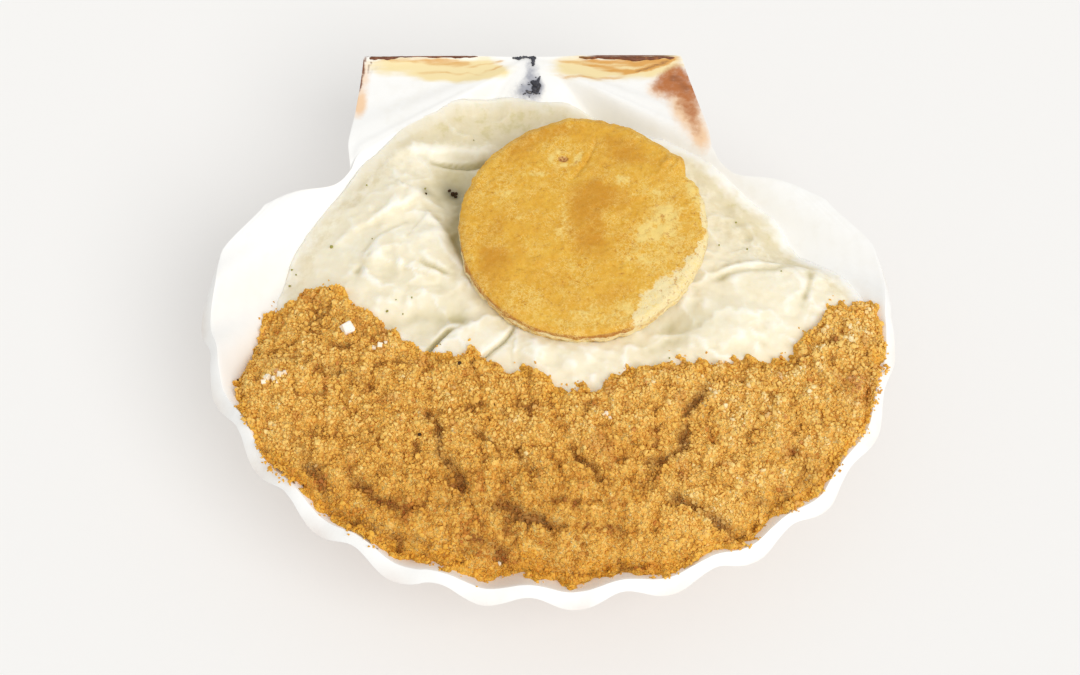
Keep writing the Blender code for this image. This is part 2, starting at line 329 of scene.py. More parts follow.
def close_below(
    mesh: bmesh.types.BMesh,
    pole: Triple,
    tuck: Callable[[Array, Array], Array] | None = None,
    inwards: float = 10.0,
) -> None:
    """Closes an open sheet by drawing its edge down to one hidden pole.

    Args:
        mesh: the sheet.
        pole: where the edge is drawn together.
        tuck: gives the height that the edge keeps while it first runs inwards.
        inwards: how far it first runs.
    """
    rim = [edge for edge in mesh.edges if edge.is_boundary]
    if tuck:
        drawn = bmesh.ops.extrude_edge_only(mesh, edges=rim)["geom"]
        ring = [part for part in drawn if isinstance(part, bmesh.types.BMVert)]
        rows = places(ring)
        gap = np.array(pole[:2]) - rows[:, :2]
        rows[:, :2] += gap * np.minimum(1.0, inwards / np.hypot(*gap.T))[:, None]
        rows[:, 2] = tuck(rows[:, 0], rows[:, 1])
        settle(ring, rows)
        rim = [part for part in drawn if isinstance(part, bmesh.types.BMEdge)]
    drawn = bmesh.ops.extrude_edge_only(mesh, edges=rim)["geom"]
    corners = [part for part in drawn if isinstance(part, bmesh.types.BMVert)]
    bmesh.ops.pointmerge(mesh, verts=corners, merge_co=Vector(pole) * MM)
    face_out(mesh)


def face_out(mesh: bmesh.types.BMesh) -> None:
    """Turns the faces of a closed mesh outwards."""
    bmesh.ops.recalc_face_normals(mesh, faces=mesh.faces)
    if mesh.calc_volume(signed=True) < 0.0:
        bmesh.ops.reverse_faces(mesh, faces=mesh.faces)


def proud(piece: bpy.types.Object, rounds: int) -> Array:
    """How far each vertex stands above the ground about it.

    Args:
        piece: the piece.
        rounds: how often heights are evened out with their neighbours' first.

    Returns:
        The heights in millimetres, below 0 in hollows.
    """
    ends = np.empty(len(piece.data.edges) * 2, dtype=np.int32)
    piece.data.edges.foreach_get("vertices", ends)
    first, second = ends.reshape(-1, 2).T
    height = corners_of(piece)[:, 2]
    count = np.bincount(ends, minlength=len(height))
    even = height.copy()
    for _ in range(rounds):
        total = np.bincount(first, even[second], len(even)) + np.bincount(second, even[first], len(even))
        even = 0.5 * even + 0.5 * total / count
    return height - even


def marks(piece: bpy.types.Object, name: str, values: Array) -> None:
    """Stores one number for each vertex under a name that materials read."""
    layer = piece.data.attributes.new(name, "FLOAT", "POINT")
    layer.data.foreach_set("value", np.ascontiguousarray(values, dtype=np.float32))


def corners_of(piece: bpy.types.Object) -> Array:
    """The places of a finished piece's vertices, in millimetres.

    Args:
        piece: the piece.

    Returns:
        One row for each vertex.
    """
    flat = np.empty(len(piece.data.vertices) * 3, dtype=np.float32)
    piece.data.vertices.foreach_get("co", flat)
    return flat.reshape(-1, 3).astype(float) / MM


def finish_piece(
    name: str,
    mesh: bmesh.types.BMesh,
    material: bpy.types.Material,
    nodes: tuple[str, ...] = (),
    smooth: bool = True,
) -> bpy.types.Object:
    """Stores a mesh as a piece of the dish.

    Args:
        name: the piece's name.
        mesh: its finished mesh, which is freed.
        material: its finish.
        nodes: the plain solids it stands for.
        smooth: whether it is shaded round.

    Returns:
        The piece.
    """
    data = bpy.data.meshes.new(name)
    mesh.to_mesh(data)
    mesh.free()
    return dress(name, data, material, nodes, smooth)


def dress(
    name: str,
    data: bpy.types.Mesh,
    material: bpy.types.Material,
    nodes: tuple[str, ...] = (),
    smooth: bool = True,
) -> bpy.types.Object:
    """Makes a piece from stored mesh data, as finish_piece does.

    Args:
        name: the piece's name.
        data: its mesh, in metres.
        material: its finish.
        nodes: the CAD nodes it stands for.
        smooth: whether its faces are shaded as one surface.

    Returns:
        The piece.
    """
    data.polygons.foreach_set("use_smooth", [smooth] * len(data.polygons))
    data.materials.append(material)
    piece = bpy.data.objects.new(name, data)
    bpy.context.scene.collection.objects.link(piece)
    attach(piece, "root")
    if nodes:
        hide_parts(*nodes)
    LOG.info("%s: %d faces", name, len(data.polygons))
    return piece


# ---- shader helpers


class Paint:
    """A node tree in the making, with short ways to add and join nodes."""

    def __init__(self, tree: bpy.types.NodeTree) -> None:
        """Takes the tree that nodes are added to."""
        self.tree = tree

    def node(self, kind: str, inputs: dict | None = None, **settings: object) -> bpy.types.Node:
        """Adds a node.

        Args:
            kind: its Blender type.
            inputs: a value or an output to join, for each input name or number.
            settings: properties set on the node first.

        Returns:
            The node.
        """
        made = self.tree.nodes.new(kind)
        for key, value in settings.items():
            setattr(made, key, value)
        for key, value in (inputs or {}).items():
            if isinstance(value, bpy.types.NodeSocket):
                self.tree.links.new(value, made.inputs[key])
            else:
                made.inputs[key].default_value = value
        return made

    def maths(self, operation: str, first: object, second: object = 0.0) -> Socket:
        """The output of a Math node."""
        return self.node("ShaderNodeMath", {0: first, 1: second}, operation=operation).outputs[0]

    def times(self, first: object, second: object) -> Socket:
        """Two numbers multiplied."""
        return self.maths("MULTIPLY", first, second)

    def strayed(self, value: object, grain: object, reach: float) -> Socket:
        """A number with noise laid over it, which reaches so far in all."""
        return self.maths("ADD", value, self.times(self.maths("SUBTRACT", grain, 0.5), reach))

    def mix(self, share: object, first: object, second: object) -> Socket:
        """The output of a colour Mix node.

        Args:
            share: how much of the second colour there is.
            first, second: the colours, or sockets that give them.

        Returns:
            The mixed colour.
        """
        made = self.node("ShaderNodeMix", {0: share}, data_type="RGBA")
        for index, value in ((6, first), (7, second)):
            if isinstance(value, bpy.types.NodeSocket):
                self.tree.links.new(value, made.inputs[index])
            else:
                made.inputs[index].default_value = value
        return made.outputs[2]

    def band(
        self, value: object, low: float, high: float, start: float = 0.0, end: float = 1.0
    ) -> Socket:
        """A value eased from one range to another.

        Args:
            value: the number to read.
            low, high: the range that it is eased over.
            start, end: what comes out at the two ends.

        Returns:
            The eased number.
        """
        made = self.node(
            "ShaderNodeMapRange",
            {"Value": value, "From Min": low, "From Max": high, "To Min": start, "To Max": end},
            interpolation_type="SMOOTHSTEP",
        )
        return made.outputs["Result"]

    def mark(self, name: str) -> Socket:
        """The numbers stored on a piece under a name."""
        return self.node("ShaderNodeAttribute", attribute_name=name).outputs["Fac"]

    def noise(self, where: object, per_mm: float, detail: float = 3.0, rough: float = 0.55) -> Socket:
        """The grey value of a Noise node with so many features to a millimetre."""
        inputs = {"Vector": where, "Scale": per_mm / MM, "Detail": detail, "Roughness": rough}
        return self.node("ShaderNodeTexNoise", inputs).outputs["Fac"]

    def place(self) -> Socket:
        """The place on the piece, which the patterns are laid by."""
        return self.node("ShaderNodeTexCoord").outputs["Object"]

    def drawn_out(self, where: object, turn: float = 0.0) -> Socket:
        """A place that draws patterns out along the hinge line."""
        inputs = {"Vector": where, "Scale": (HINGE_DRAW, 1.0, 1.0), "Rotation": (0.0, 0.0, turn)}
        return self.node("ShaderNodeMapping", inputs).outputs["Vector"]

    def swell(self, height: object, distance: float) -> Socket:
        """The normal of a surface with a relief so many millimetres high."""
        inputs = {"Height": height, "Distance": distance * MM, "Strength": 1.0}
        return self.node("ShaderNodeBump", inputs).outputs["Normal"]

    def give(self, value: Socket, shader: bpy.types.Node, name: str) -> None:
        """Joins a value to an input of the shader."""
        self.tree.links.new(value, shader.inputs[name])


def mottle_group() -> bpy.types.NodeTree:
    """The shared mottling: a colour broken up by two sizes of blotches, and a height.

    Returns:
        The node group.
    """
    name = "mottle"
    if name in bpy.data.node_groups:
        return bpy.data.node_groups[name]
    tree = bpy.data.node_groups.new(name, "ShaderNodeTree")
    for socket, kind, default in (
        ("Colour", "NodeSocketColor", (1, 1, 1, 1)),
        ("Darker", "NodeSocketColor", (0.5, 0.5, 0.5, 1)),
        ("Lighter", "NodeSocketColor", (1, 1, 1, 1)),
        ("Large per mm", "NodeSocketFloat", 0.1),
        ("Small per mm", "NodeSocketFloat", 1.0),
        ("Strength", "NodeSocketFloat", 0.5),
    ):
        tree.interface.new_socket(socket, in_out="INPUT", socket_type=kind).default_value = default
    tree.interface.new_socket("Colour", in_out="OUTPUT", socket_type="NodeSocketColor")
    tree.interface.new_socket("Height", in_out="OUTPUT", socket_type="NodeSocketFloat")
    paint = Paint(tree)
    source = tree.nodes.new("NodeGroupInput")
    target = tree.nodes.new("NodeGroupOutput")
    where = paint.place()
    grey = []
    for key in ("Large per mm", "Small per mm"):
        scale = paint.times(source.outputs[key], 1.0 / MM)
        grey.append(
            paint.node("ShaderNodeTexNoise", {"Vector": where, "Scale": scale, "Detail": 4.0}).outputs["Fac"]
        )
    both = paint.maths("ADD", paint.times(grey[0], 0.62), paint.times(grey[1], 0.38))
    dark = paint.times(paint.band(both, 0.5, 0.34), source.outputs["Strength"])
    light = paint.times(paint.band(both, 0.5, 0.66), source.outputs["Strength"])
    colour = paint.mix(dark, source.outputs["Colour"], source.outputs["Darker"])
    tree.links.new(paint.mix(light, colour, source.outputs["Lighter"]), target.inputs["Colour"])
    tree.links.new(both, target.inputs["Height"])
    return tree


@dataclass(frozen=True)
class Finish:
    """A mottled surface with a little relief."""

    name: str
    colour: Colour
    darker: Colour
    lighter: Colour
    roughness: float = 0.6
    large: float = 0.12
    small: float = 1.1
    strength: float = 0.6
    relief: float = 0.05
    soft: float = 0.0
    soft_reach: Triple = (1.0, 0.6, 0.3)
    specular: float = 0.5

    def start(self) -> tuple[bpy.types.Material, Paint, bpy.types.Node, bpy.types.Node]:
        """Makes the material up to its mottling.

        Returns:
            The material, its paint, its shader and the mottle node.
        """
        made = bpy.data.materials.new(self.name)
        made.use_nodes = True
        paint = Paint(made.node_tree)
        shader = made.node_tree.nodes["Principled BSDF"]
        mottle = paint.node("ShaderNodeGroup", node_tree=mottle_group())
        for key, value in (
            ("Colour", linear(self.colour)),
            ("Darker", linear(self.darker)),
            ("Lighter", linear(self.lighter)),
            ("Large per mm", self.large),
            ("Small per mm", self.small),
            ("Strength", self.strength),
        ):
            mottle.inputs[key].default_value = value
        shader.inputs["Roughness"].default_value = self.roughness
        shader.inputs["Specular IOR Level"].default_value = self.specular
        if self.soft:
            shader.inputs["Subsurface Weight"].default_value = self.soft
            shader.inputs["Subsurface Radius"].default_value = self.soft_reach
            shader.inputs["Subsurface Scale"].default_value = SOFT_DEPTH * MM
        paint.give(mottle.outputs["Colour"], shader, "Base Color")
        if self.relief:
            paint.give(paint.swell(mottle.outputs["Height"], self.relief), shader, "Normal")
        return made, paint, shader, mottle

    def material(self) -> bpy.types.Material:
        """The plain mottled material."""
        return self.start()[0]


# ---- the valve


@dataclass(frozen=True)
class LimeFinish(Finish):
    """The valve's lime: white inside, warmer outside, with stains about the hinge."""

    outside: Colour = (238, 224, 204)
    ring: Colour = (205, 164, 134)
    ray: Colour = (184, 134, 106)
    butter: Colour = (240, 221, 168)
    amber: Colour = (216, 160, 80)
    umber: Colour = (122, 72, 44)
    rust: Colour = (182, 110, 56)
    peach: Colour = (240, 204, 166)
    smoke: Colour = (158, 161, 172)

    def material(self) -> bpy.types.Material:
        """Lays the stains over the lime, each where its mark says.

        Returns:
            The material.
        """
        made, paint, shader, mottle = self.start()
        where = paint.place()
        fray = paint.noise(where, 0.9, 5.0, 0.65)
        colour = mottle.outputs["Colour"]
        rings = paint.band(paint.strayed(paint.mark("rings"), fray, 0.5), 0.35, 0.95)
        skin = paint.mix(rings, linear(self.outside), linear(self.ring))
        rays = paint.band(paint.strayed(paint.mark("rays"), fray, 0.5), 0.45, 1.0, 0.0, 0.7)
        skin = paint.mix(rays, skin, linear(self.ray))
        colour = paint.mix(paint.mark("outside"), colour, skin)
        lines = paint.noise(paint.drawn_out(where, -0.05), 1.5, 4.0, 0.6)
        for name, tint, grain, uneven, full in (
            ("butter", self.butter, lines, 0.5, 0.7),
            ("peach", self.peach, fray, 0.5, 0.85),
            ("smoke", self.smoke, fray, 0.9, 1.1),
            ("amber", self.amber, lines, 1.0, 0.85),
            ("rust", self.rust, fray, 0.9, 1.05),
            ("umber", self.umber, lines, 0.8, 0.85),
        ):
            level = paint.strayed(paint.mark(name), grain, uneven)
            shown = paint.times(paint.band(level, 0.1, full), paint.band(paint.mark(name), 0.02, 0.3))
            colour = paint.mix(shown, colour, linear(tint))
        paint.give(colour, shader, "Base Color")
        return made


@dataclass(frozen=True)
class Valve:
    """The cupped valve of the shell: a fan of ribs with two ears along the hinge."""

    half_width: float = 58.0
    front_half: float = 52.7
    ellipse_y: float = 2.0
    beak: Pair = (-3.0, 53.3)
    left_side: float = math.radians(56.5)
    right_side: float = math.radians(60.0)
    corner: float = 0.10
    rim_z: float = 27.0
    depth: float = 24.9
    deepest: float = 0.49
    rib_pitch: float = math.radians(116.5 / 14.0)
    rib_inside: float = 0.75
    rib_outside: float = 0.95
    rib_edge: float = 0.35
    wall: float = 2.1
    wall_extra: float = 0.75
    columns: int = 224
    rows: int = 117
    left_row: int = 83
    right_row: int = 73
    ear_columns: int = 60
    left_ear: tuple[Pair, ...] = ((-36.1, 31.4), (-35.5, 35.0), (-34.5, 41.0), (-33.7, 47.0), (-33.1, 53.0))
    right_ear: tuple[Pair, ...] = ((29.2, 34.8), (28.6, 37.5), (27.4, 42.0), (25.9, 47.0), (23.9, 53.3))
    butter_lines: tuple[Trail, ...] = (
        Trail(((-35, 51.6), (-24, 51.2), (-14, 50.9), (-7, 51.4)), 0.72, 2.0),
        Trail(((-1, 51.6), (8, 50.6), (18, 51.2), (26, 52)), 0.85, 2.2),
        Trail(((-24, 49.6), (-16, 49.2), (-11, 49.6)), 0.5, 1.2),
        Trail(((-19, 50.4), (-12, 49.9), (-6.4, 50.3)), 0.55, 1.6),
        Trail(((-2.5, 42.4), (2, 43.3), (6.5, 42.2)), 0.8, 1.3),
    )
    amber_lines: tuple[Trail, ...] = (
        Trail(((-24, 51.9), (-18, 51.7), (-12.5, 51.9)), 0.5, 0.5),
        Trail(((-26, 50.4), (-19, 50.1), (-14, 49.8), (-10, 49.3)), 0.4, 0.32),
        Trail(((-12.5, 49.9), (-9.5, 50.8), (-7.2, 52.0)), 0.45, 0.3),
        Trail(((-15, 51), (-10, 51.8), (-7.5, 52.7)), 0.45, 0.3),
        Trail(((0.8, 49.7), (4.5, 49.2), (9, 48.9), (15, 49.3)), 0.55, 0.4),
        Trail(((1, 52.6), (5, 51.8), (9, 51.0), (13, 50.6)), 0.5, 0.4),
        Trail(((4, 52.6), (10, 52.1), (17, 52.1), (24.6, 52.7)), 0.9, 0.45),
        Trail(((12.8, 49.7), (18, 51.0), (23.6, 52.7)), 1.0, 0.4),
        Trail(((9, 50.3), (15, 50.6), (20, 51.6)), 0.7, 0.35),
        Trail(((-32, 52.2), (-24, 52.3), (-14, 52.4)), 0.5, 0.4),
        Trail(((6, 51.5), (12, 51.2), (18.5, 51.8)), 0.5, 0.3),
    )
    umber_lines: tuple[Trail, ...] = (
        Trail(((-33.2, 53.3), (-28, 53.2), (-22, 53.2), (-12, 53.2)), 0.9, 0.3),
        Trail(((-33.0, 53.4), (-33.3, 50), (-33.8, 45.6)), 1.0, 0.34),
        Trail(((6, 53.2), (14, 53.2), (23.6, 53.2)), 0.9, 0.32),
        Trail(((-31.2, 52.6), (-32.0, 51.4), (-32.4, 49.8)), 0.6, 0.2),
        Trail(((15.2, 50.3), (18.6, 51.4), (22.4, 52.5)), 0.6, 0.3),
        Trail(((21.6, 49.6), (23.6, 48.4), (25.2, 45.6)), 0.42, 1.1),
    )
    peach_spots: tuple[Hill, ...] = (
        Hill(-33.6, 43.4, 0.95, 1.3, 2.2, 84), Hill(-33.2, 49.5, 0.6, 1.5, 2.2, 88),
        Hill(19.6, 46.8, 0.6, 2.4),
        Hill(24.6, 42.4, 1.0, 2.8, 1.9, 105), Hill(27.2, 36.2, 0.7, 1.7, 1.6, 100),
    )
    rust_spots: tuple[Hill, ...] = (
        Hill(22.9, 48.7, 1.7, 2.0), Hill(20.9, 46.9, 0.9, 1.6), Hill(24.7, 46.4, 1.5, 1.8),
        Hill(25.2, 43.0, 0.7, 1.6, 1.3, 100),
        Hill(25.9, 40.2, 0.4, 1.3, 1.5, 100), Hill(26.8, 37.2, 0.3, 0.9, 1.6, 100),
    )
    smoke_spots: tuple[Hill, ...] = (
        Hill(-2.6, 47.0, 1.2, 1.8), Hill(-4.6, 46.4, 0.6, 1.5, 1.4, 0), Hill(-3.0, 50.6, 0.7, 1.3, 2.2, 95),
        Hill(-31.6, 50.6, 0.3, 0.7, 2.4, 60), Hill(-30.4, 51.0, 0.25, 0.6),
    )
    clouds: Clouds = field(default_factory=lambda: Clouds(11))
    finish: Finish = LimeFinish(
        "lime", (246, 246, 244), (240, 238, 232), (250, 250, 248),
        roughness=0.5, large=0.05, small=0.5, strength=0.5, relief=0.05,
    )

    def side(self, phi: Array) -> Array:
        """The angle of the fan's straight back edge on the side of each ray."""
        return np.where(phi > 0.0, self.right_side, self.left_side)

    def rib(self, phi: Array) -> Array:
        """1 on the crest of a rib and -1 in the furrow between two."""
        fade = 1.0 - ease(np.abs(phi) / self.side(phi), 0.86, 0.97)
        return -np.cos(2.0 * math.pi * phi / self.rib_pitch) * fade

    def reach(self, phi: Array) -> Array:
        """From the beak to the inner edge along each ray.

        Args:
            phi: the ray's angle from the front, in radians.

        Returns:
            The distance in millimetres.
        """
        dx, dy = np.sin(phi) / self.half_width, -np.cos(phi) / self.front_half
        ox, oy = self.beak[0] / self.half_width, (self.beak[1] - self.ellipse_y) / self.front_half
        square, half, rest = dx * dx + dy * dy, ox * dx + oy * dy, ox * ox + oy * oy - 1.0
        reach = (-half + np.sqrt(np.maximum(half * half - square * rest, 0.0))) / square
        reach = reach * (1.0 - self.corner * ease(np.abs(phi) / self.side(phi), 0.94, 1.0))
        lean = np.exp(-(((np.degrees(phi) - 31.0) / 14.0) ** 2))
        flat = np.exp(-(((np.degrees(phi) + 30.0) / 13.0) ** 2))
        return reach * (1.0 + 0.015 * lean - 0.012 * flat) + self.rib_edge * self.rib(phi)

    def polar(self, x: Array, y: Array) -> tuple[Array, Array]:
        """Angle from the front and distance, both about the beak."""
        return np.arctan2(x - self.beak[0], self.beak[1] - y), np.hypot(x - self.beak[0], self.beak[1] - y)

    def hollow(self, x: Array, y: Array) -> Array:
        """Depth of the smooth bowl below the rim plane.

        Args:
            x, y: places in millimetres.

        Returns:
            The depth at each place.
        """
        phi, distance = self.polar(x, y)
        side = self.side(phi)
        share = np.minimum(1.0, distance / self.reach(phi))
        far = np.maximum(share - self.deepest, 0.0) / (1.0 - self.deepest)
        near = np.maximum(self.deepest - share, 0.0) / self.deepest
        across = 1.0 - np.minimum(1.0, np.abs(phi) / side) ** 2.1
        bowl = self.depth * (1.0 - far**2.4 - near**3.0) * across * ease(across, -0.12, 0.42)
        bowl = bowl * ease(share, 0.02, 0.26)
        turn = np.clip((np.abs(phi) - side) / (0.5 * math.pi - side), 0.0, 1.0)
        ear = 0.6 * np.sin(math.pi * turn) ** 2 * np.minimum(1.0, distance / 20.0)
        return np.where(np.abs(phi) >= side, ear, bowl)

    def inside(self, x: Array, y: Array) -> Array:
        """Height of the ribbed inner face at each place.

        Args:
            x, y: places in millimetres.

        Returns:
            Millimetres.
        """
        phi, distance = self.polar(x, y)
        share = np.minimum(1.0, distance / self.reach(phi))
        relief = self.rib_inside * (0.15 + 0.85 * share**3) * ease(share, 0.1, 0.4)
        relief = np.where(np.abs(phi) >= self.side(phi), 0.0, relief)
        growth = 0.02 * np.sin(share * 150.0 + 2.5 * self.clouds.soft(phi * 30.0, share * 9.0, 3.0))
        growth = growth * ease(share, 0.7, 0.95)
        return self.rim_z - self.hollow(x, y) - relief * self.rib(phi) - growth

    def slope(self, x: Array, y: Array) -> tuple[Array, Array]:
        """The bowl's fall towards +X and +Y, taken slightly inwards of each place.

        Args:
            x, y: places in millimetres.

        Returns:
            Both slopes, 0 on the ears.
        """
        px, py, step = x * 0.98, y * 0.98, 0.5
        flat = np.abs(self.polar(x, y)[0]) >= self.side(x - self.beak[0])
        slope_x = (self.hollow(px - step, py) - self.hollow(px + step, py)) / (2.0 * step)
        slope_y = (self.hollow(px, py - step) - self.hollow(px, py + step)) / (2.0 * step)
        return np.where(flat, 0.0, slope_x), np.where(flat, 0.0, slope_y)

    def skin(self, x: Array, y: Array) -> Array:
        """How far the outer face lies from the inner one.

        Args:
            x, y: places in millimetres.

        Returns:
            One vector in millimetres for each place.
        """
        phi, distance = self.polar(x, y)
        share = np.minimum(1.0, distance / self.reach(phi))
        slope_x, slope_y = self.slope(x, y)
        length = np.sqrt(1.0 + slope_x**2 + slope_y**2)
        nx, ny, nz = slope_x / length, slope_y / length, 1.0 / length
        inward = distance * np.maximum(0.0, self.side(phi) - np.abs(phi))
        spread = np.maximum(ease(distance, 40.0, 50.0), ease(inward, 4.0, 12.0) * ease(distance, 12.0, 30.0))
        spread = np.where((np.abs(phi) >= self.side(phi) - 1e-6) & (distance < 40.0), 0.0, spread)
        worn = ease(np.hypot(x - self.beak[0], y - self.ellipse_y - 2.0), 12.0, 26.0)
        relief = self.rib_outside * 0.5 * (1.0 + self.rib(phi)) * ease(share, 0.08, 0.3) * worn
        rings = 0.10 * np.sin(share * 120.0 + 3.0 * self.clouds.soft(phi * 24.0, share * 7.0, 3.0))
        thick = self.wall + self.wall_extra * (1.0 - share**2) + relief
        thick = thick + rings * worn * ease(share, 0.1, 0.4)
        down = thick * (1.0 - spread * (nx**2 + ny**2)) / nz
        return np.stack([spread * thick * nx, spread * thick * ny, -down], axis=1)

    def fan_point(self, u: Array, v: Array) -> Array:
        """Places on the fan: u across the ribs, v from beak to edge.

        Args:
            u, v: shares of the way, from 0 to 1.

        Returns:
            One row for each place, in millimetres.
        """
        phi = -self.left_side + u * (self.left_side + self.right_side)
        ragged = 0.35 * self.clouds.rough(phi * 60.0, v * 3.0, 3.5, 3) * ease(v, 0.75, 1.0)
        distance = v * (self.reach(phi) + ragged * ease(1.0 - np.abs(phi) / self.side(phi), 0.0, 0.05))
        edge = ease(np.abs(phi) / self.side(phi), 0.8, 1.0) * ease(distance, 35.5, 39.5)
        tuck = 2.6 * np.exp(-(((distance - 43.0) / 6.0) ** 2)) / np.maximum(distance, 1.0)
        phi = phi - np.sign(phi) * tuck * edge
        x = self.beak[0] + distance * np.sin(phi)
        y = self.beak[1] - distance * np.cos(phi)
        return np.stack([x, y, self.inside(x, y)], axis=1)

    def ear_point(self, margin: tuple[Pair, ...], side: float, row: int, u: Array, v: Array) -> Array:
        """Places on an ear.

        Args:
            margin: the ear's free edge, from the notch to the hinge.
            side: the fan's back edge that the ear joins, in radians.
            row: the fan's row where the ear's free edge starts.
            u: from the fan to the hinge line.
            v: out from the beak.

        Returns:
            The places in millimetres.
        """
        notch = float(self.reach(np.array([side]))[0]) * row / self.rows
        corner = (self.beak[0] + notch * math.sin(side), self.beak[1] - notch * math.cos(side))
        line = np.array((corner,) + margin[1:])
        where = u * (len(line) - 1)
        ex = np.interp(where, np.arange(len(line)), line[:, 0])
        ey = np.interp(where, np.arange(len(line)), line[:, 1])
        x = self.beak[0] + v * (ex - self.beak[0])
        y = self.beak[1] + v * (ey - self.beak[1])
        seam = self.fan_point(np.full_like(u, 0.0 if side < 0.0 else 1.0), v * row / self.rows)
        near = 1.0 - ease(u, 0.0, 0.3)
        x = x + (seam[:, 0] - self.beak[0] - v * (corner[0] - self.beak[0])) * near
        y = y + (seam[:, 1] - self.beak[1] - v * (corner[1] - self.beak[1])) * near
        furrow = 0.06 * np.sin(u * 21.0) * ease(v, 0.2, 0.6) * ease(u, 0.0, 0.15)
        furrow = furrow * (1.0 - ease(u, 0.85, 1.0))
        ridge = 0.5 * ease(u, 0.9, 1.0)
        z = self.rim_z - self.hollow(x, y) + furrow + ridge * ease(v, 0.1, 0.4)
        z = np.where(u <= 0.0, seam[:, 2], z + (seam[:, 2] - self.rim_z) * near)
        return np.stack([x, y, z], axis=1)

    def build(self) -> bpy.types.Object:
        """Makes the valve.

        Returns:
            The piece, which stands for the plain shell.
        """
        mesh = bmesh.new()
        lattice(mesh, self.columns, self.rows, self.fan_point)
        for ear in (
            (self.left_ear, -self.left_side, self.left_row),
            (self.right_ear, self.right_side, self.right_row),
        ):
            lattice(mesh, self.ear_columns, ear[2], lambda u, v, e=ear: self.ear_point(*e, u, v))
        bmesh.ops.remove_doubles(mesh, verts=mesh.verts, dist=0.00001)
        drawn = bmesh.ops.extrude_face_region(mesh, geom=list(mesh.faces), use_keep_orig=True)["geom"]
        outer = [part for part in drawn if isinstance(part, bmesh.types.BMVert)]
        rows = places(outer)
        rows = rows + self.skin(rows[:, 0], rows[:, 1])
        rows[:, 2] = np.maximum(rows[:, 2], 0.0)
        settle(outer, rows)
        face_out(mesh)
        sharp = [edge for edge in mesh.edges if edge.calc_face_angle(0.0) > math.radians(55.0)]
        bmesh.ops.bevel(
            mesh, geom=sharp, offset=0.45 * MM, offset_type="OFFSET", segments=2,
            profile=0.5, affect="EDGES", material=-1, clamp_overlap=True,
        )
        piece = finish_piece("valve", mesh, self.finish.material(), ("shell",))
        self.stain(piece)
        return piece

    def stain(self, piece: bpy.types.Object) -> None:
        """Marks the outer face and the stains about the hinge.

        Args:
            piece: the finished valve.
        """
        rows = corners_of(piece)
        x, y, z = rows.T
        level = np.where(y > 52.0, self.rim_z, self.inside(x, y))
        marks(piece, "outside", ease(level - z, 0.9, 1.9) * ease(self.rim_z - z, 1.0, 7.0))
        phi, distance = self.polar(x, y)
        share = distance / self.reach(phi)
        rings = 0.5 + 0.6 * self.clouds.rough(share * 60.0, phi * 5.0, 5.0, 3)
        marks(piece, "rings", np.clip(rings * ease(share, 0.05, 0.25), 0.0, 1.0))
        rays = 0.5 + 0.5 * self.rib(phi) + 0.6 * self.clouds.rough(phi * 30.0, share * 9.0, 5.0, 2)
        marks(piece, "rays", np.clip(rays * (0.35 + 0.65 * np.clip(rings, 0.0, 1.0)), 0.0, 1.0))
        top = 1.0 - ease(level - z, 0.8, 1.6)
        blur = self.clouds.rough(x, y, 2.0, 3)
        wx, wy = x + 0.5 * blur, y + 0.35 * self.clouds.rough(x, y + 30.0, 2.5, 3)
        for name, shapes in (
            ("butter", self.butter_lines),
            ("amber", self.amber_lines),
            ("umber", self.umber_lines),
            ("smoke", self.smoke_spots),
        ):
            marks(piece, name, np.clip(rise(shapes, wx, wy), 0.0, 1.0) * top)
        marks(piece, "peach", np.clip(rise(self.peach_spots, x, y), 0.0, 1.0) * top)
        rust = rise(self.rust_spots, wx, wy) * (2.4 + 0.5 * blur)
        marks(piece, "rust", (1.0 - np.exp(-rust)) * top)


# ---- the heap


